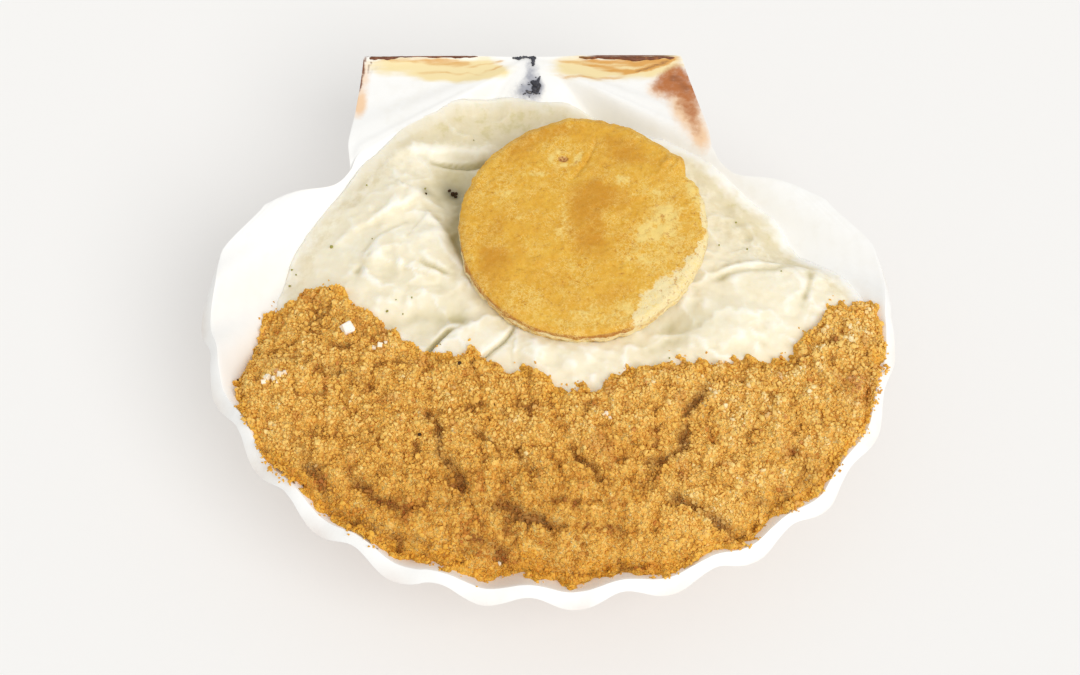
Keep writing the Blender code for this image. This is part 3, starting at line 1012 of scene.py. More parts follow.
@dataclass(frozen=True)
class Heap:
    """The surfaces that lie in the valve, one over the other."""

    valve: Valve
    clouds: Clouds = field(default_factory=lambda: Clouds(23))
    level: float = 25.5
    rounding: float = 9.0
    sauce_edge: Outline = Outline(
        (0.0, -2.0),
        (43.8, 44.6, 46.0, 48.1, 49.2, 50.3, 53.6, 55.0, 55.2, 56.2, 53.0, 47.0,
         46.0, 44.1, 44.1, 43.6, 44.2, 45.8, 47.0, 47.9, 48.6, 48.1, 46.4, 45.6,
         46.6, 47.4, 48.4, 49.2, 52.6, 52.5, 51.3, 49.6, 48.5, 47.4, 45.4, 44.4),
    )
    hills: tuple[Hill, ...] = (
        Hill(2, -22, 4.4, 30), Hill(-34, 8, 1.6, 11), Hill(-25, 25, 1.8, 9, 1.3, 20),
        Hill(-18, 12, 1.6, 9), Hill(-24, 0, 1.3, 9, 1.3, -20), Hill(40, 1, 2.2, 11, 1.5, 12),
        Hill(24, -3, 1.2, 9), Hill(6, 14, 3.2, 22), Hill(-9, 39, -0.9, 9, 1.6, 14),
        Hill(-12, -5, 0.9, 5.5), Hill(-2, -8, 0.8, 5), Hill(9, -12, 1.0, 8), Hill(-40, 12, 0.8, 6),
        Hill(30, -4, 0.8, 6), Hill(36, 18, -0.8, 8, 2.0, -40), Hill(19.5, -3.2, -0.9, 4.5, 1.6, 25),
        Hill(-16.6, 26.5, -2.6, 4.6, 1.5, 75), Hill(-15.6, 17, -1.9, 2.6, 3.0, 82),
        Hill(28.5, 27.6, 0.4, 1.8), Hill(32.4, 21.6, 0.4, 1.5), Hill(34.4, 18.6, 0.35, 1.3),
        Hill(37.4, 15.7, 0.3, 1.8),
        Hill(20.5, -3.6, -0.6, 3.0, 1.5, 15),
    )
    folds: tuple[Trail, ...] = (
        Trail(((-7.0, 32.6), (-11.2, 32.1), (-12.9, 31.6), (-16.4, 31.2), (-20.3, 31.4)), -1.3, 0.42),
        Trail(((-31, 31.0), (-24.4, 32.8), (-18.2, 33.4), (-13.8, 33.4), (-6.4, 33.2)), 1.5, 0.8, 4.2),
        Trail(
            ((-35.6, 16.3), (-33.4, 17.6), (-29.6, 19.3), (-27.4, 20.7), (-24.4, 21.5), (-22.1, 24.2),
             (-20.7, 28.7)),
            1.2, 0.45, 7.0,
        ),
        Trail(((-26, 33.5), (-29.9, 30.7), (-32.9, 27.1), (-34.7, 23.6), (-35.5, 21)), 0.9, 0.5, 5.0),
        Trail(((-22.5, 19), (-27.3, 16.7), (-30.3, 14.5), (-31.7, 11.9), (-32, 9)), 0.9, 0.45, 8.0),
        Trail(
            ((-14.5, 7), (-15.8, 10.5), (-17.1, 14.1), (-18.6, 18), (-20.6, 20.7), (-25, 21.3)),
            1.2, 0.5, 5.0,
        ),
        Trail(((-25.9, 14.6), (-25.6, 11), (-25.1, 7.4)), 0.4, 0.8),
        Trail(((-33.9, 7.7), (-31.7, 9.7), (-30.5, 12.3)), -0.5, 0.8),
        Trail(((-37.6, 22.6), (-36.4, 23.8), (-34.6, 26.8)), -0.5, 0.6),
        Trail(((-42.8, 20.4), (-41.2, 21.2), (-39.6, 22.4)), 0.4, 0.8),
        Trail(((-39, 14.6), (-37, 15.6), (-34.8, 17.4)), 0.45, 0.7),
        Trail(((-22.5, 10.9), (-21.1, 9.6), (-19.4, 8.6), (-17.4, 7.4)), -0.7, 0.5),
        Trail(((-29, -2.4), (-26.8, -1.6), (-21.7, -0.3), (-16.1, -1.1), (-11.4, -0.7)), -0.5, 1.3),
        Trail(((-21.4, -8.8), (-20.4, -7.0), (-19.1, -5.5), (-17.3, -3.8), (-15.6, -3.0)), -1.5, 0.5),
        Trail(((-21.2, -8.6), (-19.1, -5.0), (-16.6, -2.4), (-12.5, -1.6)), -0.8, 1.3, 5.0),
        Trail(((-13.4, -12), (-11.4, -10.2), (-8.2, -7.6), (-6.6, -5.6), (-5.4, -2.4)), -1.05, 0.42),
        Trail(((28.4, 6.5), (31.9, 7.6), (37.0, 8.8), (41.5, 9.6)), -0.7, 0.7),
        Trail(
            ((54, 6.2), (47.2, 9.6), (43.7, 10.0), (39.6, 10.7), (35.1, 10.0), (31, 8.9), (26.5, 7.2)),
            1.2, 0.5, 9.0,
        ),
        Trail(((45.8, 9.8), (45.0, 5.5), (43.7, 1.6)), -0.6, 0.6),
        Trail(
            ((11.5, -6.6), (6.5, -6.6), (1.5, -6.5), (-2.0, -4.8), (-5.5, -3.2), (-8.8, -4.8)),
            0.9, 0.5, 5.0,
        ),
        Trail(((15, -7.5), (19, -6.6), (24, -3.4), (29.5, -0.6)), -0.4, 1.6),
        Trail(((30, 25), (33, 20), (35.5, 16)), -0.3, 0.9),
    )
    pad_centre: Pair = (6.0, 14.9)
    pad_radius: float = 21.5
    pad_level: float = 29.7
    pad_slope: Pair = (0.015, -0.02)
    margin: tuple[Pair, ...] = (
        (-62, 18), (-56, 16), (-46, 15), (-42, 12.5), (-39.5, 8), (-38, 3), (-35, 0.8), (-30, 0), (-26, 0.4),
        (-22, 1.4), (-20.4, 2.2), (-18, 1.4), (-15, 0.4), (-11.8, 2.0), (-9.3, 1.8), (-6.3, 2.8),
        (-4.2, 2.0), (-2.8, 4.2),
        (1, 3.4), (2.4, 2.5), (3.6, 1.2), (5.8, 2.8), (7.4, 3.1), (10.2, 2.6), (15, 0.8), (19, 2), (24, 2),
        (29, 1), (34, 0), (40, 0), (44, 0.8), (48, 0.3), (50, 1.6), (53, 6), (60, 10),
    )
    shore: tuple[Pair, ...] = (
        (-60, 9), (-46.8, 5.5), (-42.6, 6), (-37.5, 5.6), (-35.2, 3.7), (-33.9, 0.8), (-30.1, 0.2),
        (-26.1, -4.1),
        (-23.5, -7), (-20.1, -8.3), (-15.8, -8.9), (-12.4, -8.3), (-11.6, -10.8), (-8.2, -11.8),
        (-4.8, -12.1),
        (-2.3, -13.3), (-0.6, -15.2), (2.8, -16.7), (7, -16.7), (9.5, -14.6), (12.1, -13.3), (18, -10.8),
        (22.3, -9.8), (32.4, -9.5), (39.2, -8.9), (41.4, -7), (43.6, -4.9), (45.4, -3.6), (46.8, -1.4),
        (47.8, 0.8),
        (50.0, 1.6), (53.2, 2.3), (55.6, 2.4), (57.4, 0.6), (58.1, -1.6), (62, -6),
    )
    crumb_depth: float = 1.7
    mounds: tuple[Hill, ...] = (
        Hill(-45, -12, 1.0, 8), Hill(-28, -25, 1.5, 10), Hill(-22, -41, 0.9, 9), Hill(3, -29, 1.5, 12),
        Hill(18, -20, 1.3, 8), Hill(38, -22, 1.6, 11), Hill(22, -40, 0.8, 8), Hill(50, -8, 1.2, 8),
    )
    creases: tuple[Trail, ...] = (
        Trail(((-43.8, -21.6), (-40.9, -26.8), (-37.9, -31.4), (-36.4, -35.9)), -1.3, 1.08),
        Trail(
            ((-41, -26.3), (-36.5, -35.5), (-31.2, -38), (-23.5, -41.3), (-16.2, -42.7), (-8.3, -43.4)),
            -0.7, 0.90,
        ),
        Trail(
            ((-22, -18.6), (-21.1, -19.8), (-18.6, -22.4), (-18.4, -26.8), (-16.3, -29.6), (-14.2, -33.6),
             (-12.7, -35.4)),
            -1.8, 0.85,
        ),
        Trail(((-18.9, -22.9), (-18.4, -25.6), (-17.2, -28.0)), -0.8, 1.20),
        Trail(((-15.0, -32.4), (-13.4, -34.6)), -0.8, 1.00),
        Trail(((-13.5, -23.2), (-12.2, -23.9), (-8.5, -26.2), (-7.6, -27.0)), -1.1, 0.70),
        Trail(((-5.8, -26.5), (-5.4, -27.3), (-3.4, -30.2), (-2.8, -33.6)), -1.2, 0.70),
        Trail(
            ((-9.4, -34.4), (-8.0, -35.9), (-5.4, -38.1), (-2.8, -39.0), (0.7, -40.4), (4.2, -40.6)),
            -1.6, 0.78,
        ),
        Trail(((-21, -36), (-16, -35.6), (-10, -36.8), (-4, -39.4), (2, -41)), -0.7, 1.50),
        Trail(((3.3, -26.4), (3.9, -27.3), (4.9, -29.1), (7.4, -31.3), (9.6, -34.4)), -1.5, 0.78),
        Trail(((-33.4, -29.6), (-32.5, -30.5), (-31.4, -31.8), (-30.2, -33.6)), -1.1, 0.78),
        Trail(((-28.4, -34.6), (-27.0, -35.9)), -1.1, 0.93),
        Trail(((-10.6, -42.2), (-9.2, -43.0), (-7.0, -44.2)), -1.6, 1.08),
        Trail(((-30.6, -39.4), (-27.4, -40.8), (-24.0, -41.6)), -0.8, 1.08),
        Trail(
            ((27.9, -13.4), (25, -17), (23.2, -19.6), (22.7, -24.8), (21.5, -27.4), (16.8, -29.8),
             (16.4, -34.4)),
            -1.6, 1.01,
        ),
        Trail(((24.5, -18.5), (22.9, -22.5), (22, -26.5)), -0.7, 1.50),
        Trail(((18.4, -34.5), (22, -36.1), (25.1, -37.4), (30.7, -39.5), (33.6, -40.6)), -1.5, 0.93),
        Trail(((32.3, -34.8), (36.6, -35.2), (42.3, -31.2), (46.3, -28.2)), -0.9, 1.08),
        Trail(
            ((-48.5, -8.3), (-42.1, -7.9), (-37, -10.2), (-34.4, -12.1), (-29.7, -14.6), (-27.5, -17.4)),
            -0.9, 1.00,
        ),
    )

    def underside(self, x: Array, y: Array) -> Array:
        """Height of the pastry's underside at each place."""
        slope_x, slope_y = self.pad_slope
        return self.pad_level + slope_x * (x - self.pad_centre[0]) + slope_y * (y - self.pad_centre[1])

    def dips(self, x: Array, y: Array) -> Array:
        """Depth of the sauce's folds at each place, 0 on open ground."""
        return sum(-fold.at(x, y) for fold in self.folds if fold.height < 0)

    def sauce(self, x: Array, y: Array) -> Array:
        """Height of the sauce, which runs into the valve's wall beyond its edge.

        Args:
            x, y: places in millimetres.

        Returns:
            One height for each place.
        """
        wx = x + 0.9 * self.clouds.rough(x + 40.0, y, 7.0, 2)
        wy = y + 0.9 * self.clouds.rough(x, y - 40.0, 7.0, 2)
        free = self.level + rise(self.hills, wx, wy) + rise(self.folds, wx, wy)
        swirl = 1.0 - np.abs(self.clouds.rough(x * 0.8 + y * 0.5, y * 0.9 - x * 0.35, 6.5, 4))
        stir_x, stir_y = self.clouds.rough(x, y, 6.0, 2), self.clouds.rough(y, x, 6.0, 2)
        lobe = self.clouds.cells(x + 2.6 * stir_x, y + 2.6 * stir_y, 7.0)
        bead = self.clouds.cells(x, y, 1.9)
        free = free + 0.6 * (swirl**2 - 0.5) + 0.6 * (0.45 - lobe) + 0.15 * self.clouds.rough(x, y, 2.2, 3)
        free = free + 0.10 * np.maximum(0.0, 0.35 - bead) * (1.0 + self.clouds.soft(x, y, 5.0))
        away = np.hypot(x - self.pad_centre[0], y - self.pad_centre[1]) - self.pad_radius
        under = self.underside(x, y)
        free = np.where(away < 0.0, np.minimum(free, under - 0.2), free)
        bed = 1.0 - ease(away, -2.5, 3.5)
        free = free + (np.minimum(free, under + 0.1) - free) * bed
        wall = self.valve.inside(x, y)
        inset = self.sauce_edge.inset(x, y) + self.fray(x, y)
        spare = inset - self.outer(x, y) + 1.5
        inset = inset - ease(knots(self.shore, x) - y, -3.0, 2.0) * np.maximum(0.0, spare)
        broad = self.rounding + 7.0 * ease(-x, 22.0, 36.0)
        swell = 1.0 - (1.0 - np.clip(inset / broad, 0.0, 1.0)) ** 1.7
        start = self.brink(x, y)
        full = np.maximum(start + (free - start) * swell, wall + 0.25 * ease(inset, 0.0, 2.5))
        return np.where(inset > 0.0, full, np.maximum(wall + np.maximum(inset, -1.2), start + 1.7 * inset))

    def fray(self, x: Array, y: Array) -> Array:
        """How far the sauce's edge strays outwards on the ray of each place.

        Args:
            x, y: places in millimetres.

        Returns:
            Millimetres.
        """
        cx, cy = self.sauce_edge.centre
        turn = np.arctan2(x - cx, cy - y)
        along, across = 45.0 * np.cos(turn), 45.0 * np.sin(turn)
        return 0.8 * self.clouds.rough(along, across, 6.0, 4)

    def brink(self, x: Array, y: Array) -> Array:
        """Height of the valve's wall where the sauce ends on the ray of each place.

        Args:
            x, y: places in millimetres.

        Returns:
            Millimetres.
        """
        cx, cy = self.sauce_edge.centre
        turns = np.linspace(-math.pi, math.pi, 721)
        reach = self.sauce_edge.reach(turns)
        reach = reach + self.fray(cx + reach * np.sin(turns), cy - reach * np.cos(turns))
        heights = self.valve.inside(cx + reach * np.sin(turns), cy - reach * np.cos(turns))
        heights = np.max([np.roll(heights[:-1], k) for k in range(-7, 8)], axis=0)
        heights = np.mean([np.roll(heights, k) for k in range(-5, 6)], axis=0)
        heights = np.append(heights, heights[0])
        return np.interp(np.arctan2(x - cx, cy - y), turns, heights)

    def outer(self, x: Array, y: Array) -> Array:
        """How far inside the crumbs' smooth outer edge each place lies."""
        phi, distance = self.valve.polar(x, y)
        return self.valve.reach(phi) - knots(self.margin, np.degrees(phi)) - distance

    def cover(self, x: Array, y: Array, ragged: float = 1.0) -> Array:
        """How far inside the crumbs' edge each place lies.

        Args:
            x, y: places in millimetres.
            ragged: 1 for the uneven edge, 0 for the smooth one.

        Returns:
            The distance in millimetres, below 0 outside.
        """
        outer = self.outer(x, y)
        inner = knots(self.shore, x) - y
        both = -np.log(np.exp(-0.9 * np.clip(outer, -60, 60)) + np.exp(-0.9 * np.clip(inner, -60, 60))) / 0.9
        uneven = 1.5 * self.clouds.rough(x, y, 3.6, 3) + 1.1 * self.clouds.soft(x + 5.0, y, 1.2)
        return both + ragged * (uneven + 0.5)

    def lumps(self, x: Array, y: Array) -> Array:
        """Relief of the crumbs' clumps, large and small.

        Args:
            x, y: places in millimetres.

        Returns:
            Millimetres.
        """
        large = self.clouds.stirred_cells(x, y, 4.4, 1.6, 3.0)
        small = self.clouds.stirred_cells(x, y, 1.9, 0.5, 1.2)
        return 1.5 * (0.45 - large) + 1.05 * (0.42 - small)

    def furrow(self, x: Array, y: Array) -> Array:
        """Depth of the creases in the crumbs.

        Args:
            x, y: places in millimetres.

        Returns:
            Millimetres.
        """
        wx = x + 0.7 * self.clouds.rough(x - 70.0, y, 2.6, 3)
        wy = y + 0.7 * self.clouds.rough(x, y + 70.0, 2.6, 3)
        broken = np.clip(0.85 + 0.75 * self.clouds.rough(x + 90.0, y, 2.4, 3), 0.15, 1.5)
        return -broken * rise(self.creases, wx, wy)

    def crumbs(self, x: Array, y: Array) -> Array:
        """Height of the crumbs' packed core, diving out of sight beyond their edge.

        Args:
            x, y: places in millimetres.

        Returns:
            Millimetres.
        """
        base = np.maximum(self.sauce(x, y), self.valve.inside(x, y))
        cover = self.cover(x, y)
        depth = self.crumb_depth + rise(self.mounds, x, y) - self.furrow(x, y)
        depth = depth + 0.4 * self.clouds.rough(x, y, 4.5, 3) + self.lumps(x, y)
        depth = np.maximum(depth, 0.55)
        raised = depth * (1.0 - np.exp(-np.maximum(cover, 0.0) / 1.8))
        return base + np.where(cover > 0.0, raised, np.maximum(0.5 * cover, -1.0))


# ---- the sauce


@dataclass(frozen=True)
class SauceFinish(Finish):
    """Thick cream, a little green-grey where it lies in shade or thin."""

    # The shade colour is painted shade, laid in the folds and hollows.
    shade: Colour = (190, 178, 128)
    thin: Colour = (229, 217, 183)
    olive: Colour = (214, 202, 150)
    # The crest colour is a painted highlight.
    crest: Colour = (255, 251, 238)
    skim: Colour = (251, 249, 243)
    smoke: Colour = (122, 120, 108)

    def material(self) -> bpy.types.Material:
        """Tints the mottled cream where it is thin, smoky or skimmed, with painted shade in its folds and a
        painted highlight on its crests.

        Returns:
            The material.
        """
        made, paint, shader, mottle = self.start()
        where = paint.place()
        level = paint.strayed(paint.mark("thin"), paint.noise(where, 0.5, 5.0, 0.65), 2.2)
        thin = paint.times(paint.band(level, 0.15, 0.9), paint.band(paint.mark("thin"), 0.02, 0.3))
        colour = paint.mix(thin, mottle.outputs["Colour"], linear(self.thin))
        olive = paint.times(paint.band(level, 0.95, 1.35, 0.0, 0.75), paint.mark("thin"))
        colour = paint.mix(olive, colour, linear(self.olive))
        # The fold mark lays painted shade and the crest mark lays a painted highlight.
        for name, tint in (
            ("crest", self.crest),
            ("fold", self.shade),
            ("skim", self.skim),
            ("smoke", self.smoke),
        ):
            colour = paint.mix(paint.mark(name), colour, linear(tint))
        dull, glossy = self.roughness + 0.1, self.roughness - 0.1
        paint.give(colour, shader, "Base Color")
        paint.give(paint.band(paint.noise(where, 0.35), 0.35, 0.7, dull, glossy), shader, "Roughness")
        return made


@dataclass(frozen=True)
class Sauce:
    """The thick cream sauce that fills the valve."""

    heap: Heap
    cells: int = 290
    # Painted shade: the pocket under the lip, the shadow along the pastry's left edge and a shaded dip on the
    # right.
    shaded: tuple[Hill, ...] = (
        Hill(-16.8, 27.5, 0.7, 4.2, 1.5, 75), Hill(-15.6, 17.5, 0.8, 2.2, 3.2, 82),
        Hill(23, -1.6, 0.35, 3.2, 2.0, 10),
    )
    thinned: tuple[Hill, ...] = (Hill(-9, 39, 1.0, 10, 1.7, 14), Hill(35, 19, 0.7, 7, 2.2, -40))
    lip: Hill = Hill(-18.6, 32.9, 1.0, 1.7, 3.2, 2)
    smoked: tuple[Hill, ...] = (
        Hill(-17.0, 26.0, 0.6, 1.4, 1.6, -50), Hill(-21.4, 25.0, 0.35, 1.0),
        Hill(-15.2, 22.6, 0.35, 0.9, 2.5, 80),
    )
    finish: Finish = SauceFinish(
        "cream", (244, 235, 208), (235, 223, 189), (251, 246, 229),
        roughness=0.42, large=0.09, small=0.6, relief=0.05, soft=0.22, soft_reach=(1.0, 0.8, 0.5),
    )

    def build(self) -> bpy.types.Object:
        """Makes the sauce.

        Returns:
            The piece, which stands for the plain filling.
        """
        heap = self.heap
        mesh = bmesh.new()

        def shape(u: Array, v: Array) -> Array:
            """Spreads the grid inside the valve and lays it on the heap."""
            x, y = heap.sauce_edge.spread(2.0 * u - 1.0, 2.0 * v - 1.0, 1.7)
            return np.stack([x, y, heap.sauce(x, y)], axis=1)

        lattice(mesh, self.cells, self.cells, shape)
        close_below(mesh, (0.0, 0.0, 6.0), lambda x, y: heap.valve.inside(x, y) - 1.2)
        piece = finish_piece("sauce", mesh, self.finish.material(), ("filling",))
        self.shade(piece)
        return piece

    def shade(self, piece: bpy.types.Object) -> None:
        """Marks the painted shade in the folds, the painted highlight on the crests and where the sauce is
        thin or smoky.

        Args:
            piece: the finished sauce.
        """
        heap = self.heap
        x, y, _ = corners_of(piece).T
        relief = proud(piece, 24)
        # Painted shade in the folds, the hollows and the shaded pockets.
        fold = heap.dips(x, y) * 0.4 + 0.42 * ease(-relief, 0.02, 0.4) + rise(self.shaded, x, y)
        marks(piece, "fold", np.clip(fold, 0.0, 0.85))
        inset = heap.sauce_edge.inset(x, y) + heap.fray(x, y)
        thin = 1.0 - ease(inset + 1.6 * heap.clouds.rough(x, y, 2.2, 3), 0.5, 7.0)
        lip = self.lip.at(x, y)
        back = np.clip(rise(self.thinned, x, y) - 0.9 * lip, 0.0, 1.0)
        marks(piece, "thin", np.clip(0.7 * thin + back, 0.0, 1.0))
        # Painted highlight on the crests and on the lip, weaker at the back.
        crest = 0.85 * ease(relief, 0.01, 0.22) * (1.0 - 0.75 * back) + 0.6 * lip
        marks(piece, "crest", np.clip(crest, 0.0, 1.0))
        skim = 1.0 - ease(inset + 0.9 * heap.clouds.rough(x + 9.0, y, 1.6, 3), 0.0, 3.4)
        marks(piece, "skim", 0.9 * skim * (0.45 + 0.55 * ease(x, 6.0, 18.0)))
        marks(piece, "smoke", np.clip(rise(self.smoked, x, y), 0.0, 1.0))


# ---- the crumbs


@dataclass(frozen=True)
class CrumbFinish(Finish):
    """Browned crumbs: each has its own tone, with painted shade in creases and amber at the fringe."""

    tones: tuple[tuple[float, Colour], ...] = (
        (0.0, (168, 104, 34)), (0.25, (220, 158, 60)), (0.5, (242, 190, 90)), (0.8, (250, 212, 124)),
        (1.0, (253, 234, 182)),
    )
    # The hollow colour is painted shade for creases and valleys.
    hollow: Colour = (140, 80, 36)
    fringe: Colour = (240, 178, 58)
    blush: Colour = (186, 92, 40)

    def material(self) -> bpy.types.Material:
        """Reads the tone of each crumb and tints it by where it lies, the hollow tint being painted shade.

        Returns:
            The material.
        """
        made, paint, shader, _ = self.start()
        ramp = paint.node("ShaderNodeValToRGB", {"Fac": paint.mark("tone")})
        stops = ramp.color_ramp.elements
        while len(stops) < len(self.tones):
            stops.new(0.5)
        for stop, (place, colour) in zip(stops, self.tones):
            stop.position = place
            stop.color = linear(colour)
        where = paint.place()
        speck = paint.band(paint.noise(where, 2.2, 3.0, 0.6), 0.42, 0.62)
        colour = paint.mix(paint.times(speck, 0.25), ramp.outputs["Color"], linear(self.colour))
        # The hollow tint is painted shade in creases and valleys.
        for name, tint, share in (
            ("fringe", self.fringe, 0.65),
            ("hollow", self.hollow, 0.75),
            ("blush", self.blush, 0.6),
        ):
            colour = paint.mix(paint.times(paint.mark(name), share), colour, linear(tint))
        paint.give(colour, shader, "Base Color")
        return made


@dataclass(frozen=True)
class PackedFinish(CrumbFinish):
    """The same crumbs packed close, each grain a swelling of the surface, lighter on top and darker between
    as painted light and shade.
    """

    per_mm: float = 2.1
    stir_per_mm: float = 1.6
    stir_reach: float = 0.5

    def material(self) -> bpy.types.Material:
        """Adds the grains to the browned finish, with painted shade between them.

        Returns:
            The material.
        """
        made = super().material()
        paint = Paint(made.node_tree)
        shader = made.node_tree.nodes["Principled BSDF"]
        where = paint.place()
        stir = paint.node("ShaderNodeTexNoise", {"Vector": where, "Scale": self.stir_per_mm / MM})
        stir.inputs["Detail"].default_value = 2.0
        shift = {0: stir.outputs["Color"], "Scale": self.stir_reach * MM}
        shift = paint.node("ShaderNodeVectorMath", shift, operation="SCALE").outputs[0]
        moved = paint.node("ShaderNodeVectorMath", {0: where, 1: shift}, operation="ADD").outputs[0]
        grains = paint.node("ShaderNodeTexVoronoi", {"Vector": moved, "Scale": self.per_mm / MM})
        swell = paint.band(grains.outputs["Distance"], 0.65, 0.0)
        tone = paint.strayed(paint.mark("tone"), grains.outputs["Color"], 0.55)
        # Painted light and shade: each grain's tone rises on its top and falls between grains.
        tone = paint.strayed(tone, swell, 0.3)
        ramp = next(node for node in made.node_tree.nodes if node.type == "VALTORGB")
        paint.give(tone, ramp, "Fac")
        paint.give(paint.swell(swell, 0.3), shader, "Normal")
        return made


CRUMB = CrumbFinish(
    "browned_crumb", (216, 158, 74), (180, 118, 48), (240, 200, 124), roughness=0.62, large=0.2, small=2.0,
    strength=0.5, relief=0.04, specular=0.3, soft=0.12, soft_reach=(1.0, 0.6, 0.25),
)
PACKED = PackedFinish(
    "packed_crumb", (216, 158, 74), (180, 118, 48), (240, 200, 124), roughness=0.65, large=0.2, small=2.0,
    strength=0.5, relief=0.0, specular=0.3, soft=0.12, soft_reach=(1.0, 0.6, 0.25),
)


@dataclass(frozen=True)
class CrumbCore:
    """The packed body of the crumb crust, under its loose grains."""

    heap: Heap
    columns: int = 460
    rows: int = 190
    sweep: Pair = (-46.5, 51.0)
    finish: Finish = PACKED

    def rows_of(self, phi: Array) -> tuple[Array, Array]:
        """Where the crumbs start and end along each ray from the beak.

        Args:
            phi: the rays' angles, in radians.

        Returns:
            The nearest and farthest distances, a little beyond the smooth edge.
        """
        steps = np.linspace(30.0, 112.0, 420)
        ray, distance = np.meshgrid(phi, steps, indexing="ij")
        beak = self.heap.valve.beak
        x, y = beak[0] + distance * np.sin(ray), beak[1] - distance * np.cos(ray)
        cover = self.heap.cover(x, y, 0.0)
        best = steps[np.argmax(cover, axis=1)]
        within = cover > -2.2
        near = np.where(within.any(axis=1), steps[np.argmax(within, axis=1)], best)
        far = np.where(within.any(axis=1), steps[len(steps) - 1 - np.argmax(within[:, ::-1], axis=1)], best)
        edge = self.heap.valve.reach(phi) - 0.35
        return np.minimum(near, edge - 0.5), np.minimum(far, edge)

    def build(self) -> bpy.types.Object:
        """Makes the core.

        Returns:
            The piece, which stands for the plain crust.
        """
        heap = self.heap
        mesh = bmesh.new()
        rays = np.radians(np.linspace(self.sweep[0], self.sweep[1], 260))
        near, far = self.rows_of(rays)

        def shape(u: Array, v: Array) -> Array:
            """Fans the grid out from the beak between the crumbs' two edges.

            Args:
                u, v: shares of the way over the grid.

            Returns:
                One row for each place, in millimetres.
            """
            phi = np.radians(self.sweep[0] + u * (self.sweep[1] - self.sweep[0]))
            start, end = np.interp(phi, rays, near), np.interp(phi, rays, far)
            distance = start + v * (end - start)
            x = heap.valve.beak[0] + distance * np.sin(phi)
            y = heap.valve.beak[1] - distance * np.cos(phi)
            return np.stack([x, y, heap.crumbs(x, y)], axis=1)

        lattice(mesh, self.columns, self.rows, shape)
        close_below(mesh, (0.0, -26.0, 13.0), lambda x, y: heap.valve.inside(x, y) - 1.1, 1.2)
        piece = finish_piece("crumb_core", mesh, self.finish.material(), ("crumb_crust",))
        x, y, _ = corners_of(piece).T
        relief = heap.lumps(x, y)
        # Painted light and shade: lighter towards the right, where the key light falls, and on the lumps'
        # tops, darker in their valleys.
        tone = 0.53 + 0.08 * heap.clouds.rough(x, y, 1.6, 3) + 0.09 * ease(x, 0.0, 45.0)
        marks(piece, "tone", tone + 0.2 * relief)
        # Painted shade in the creases and between the lumps.
        marks(piece, "hollow", np.clip(0.5 * heap.furrow(x, y) + 0.6 * ease(-relief, 0.1, 0.75), 0.0, 0.9))
        marks(piece, "fringe", 1.0 - ease(heap.cover(x, y), 0.0, 3.2))
        marks(piece, "blush", np.zeros_like(x))
        return piece


class Grain(Enum):
    """The sorts of loose grain, by size and tone."""

    FINE = "fine"
    MIDDLE = "middle"
    COARSE = "coarse"
    STRAY = "stray"


@dataclass(frozen=True)
class GrainSort:
    """How the grains of one sort are made and strewn."""

    sort: Grain
    pitch: float
    size: Pair
    tone: Pair
    sink: float
    share: float
    seed: int


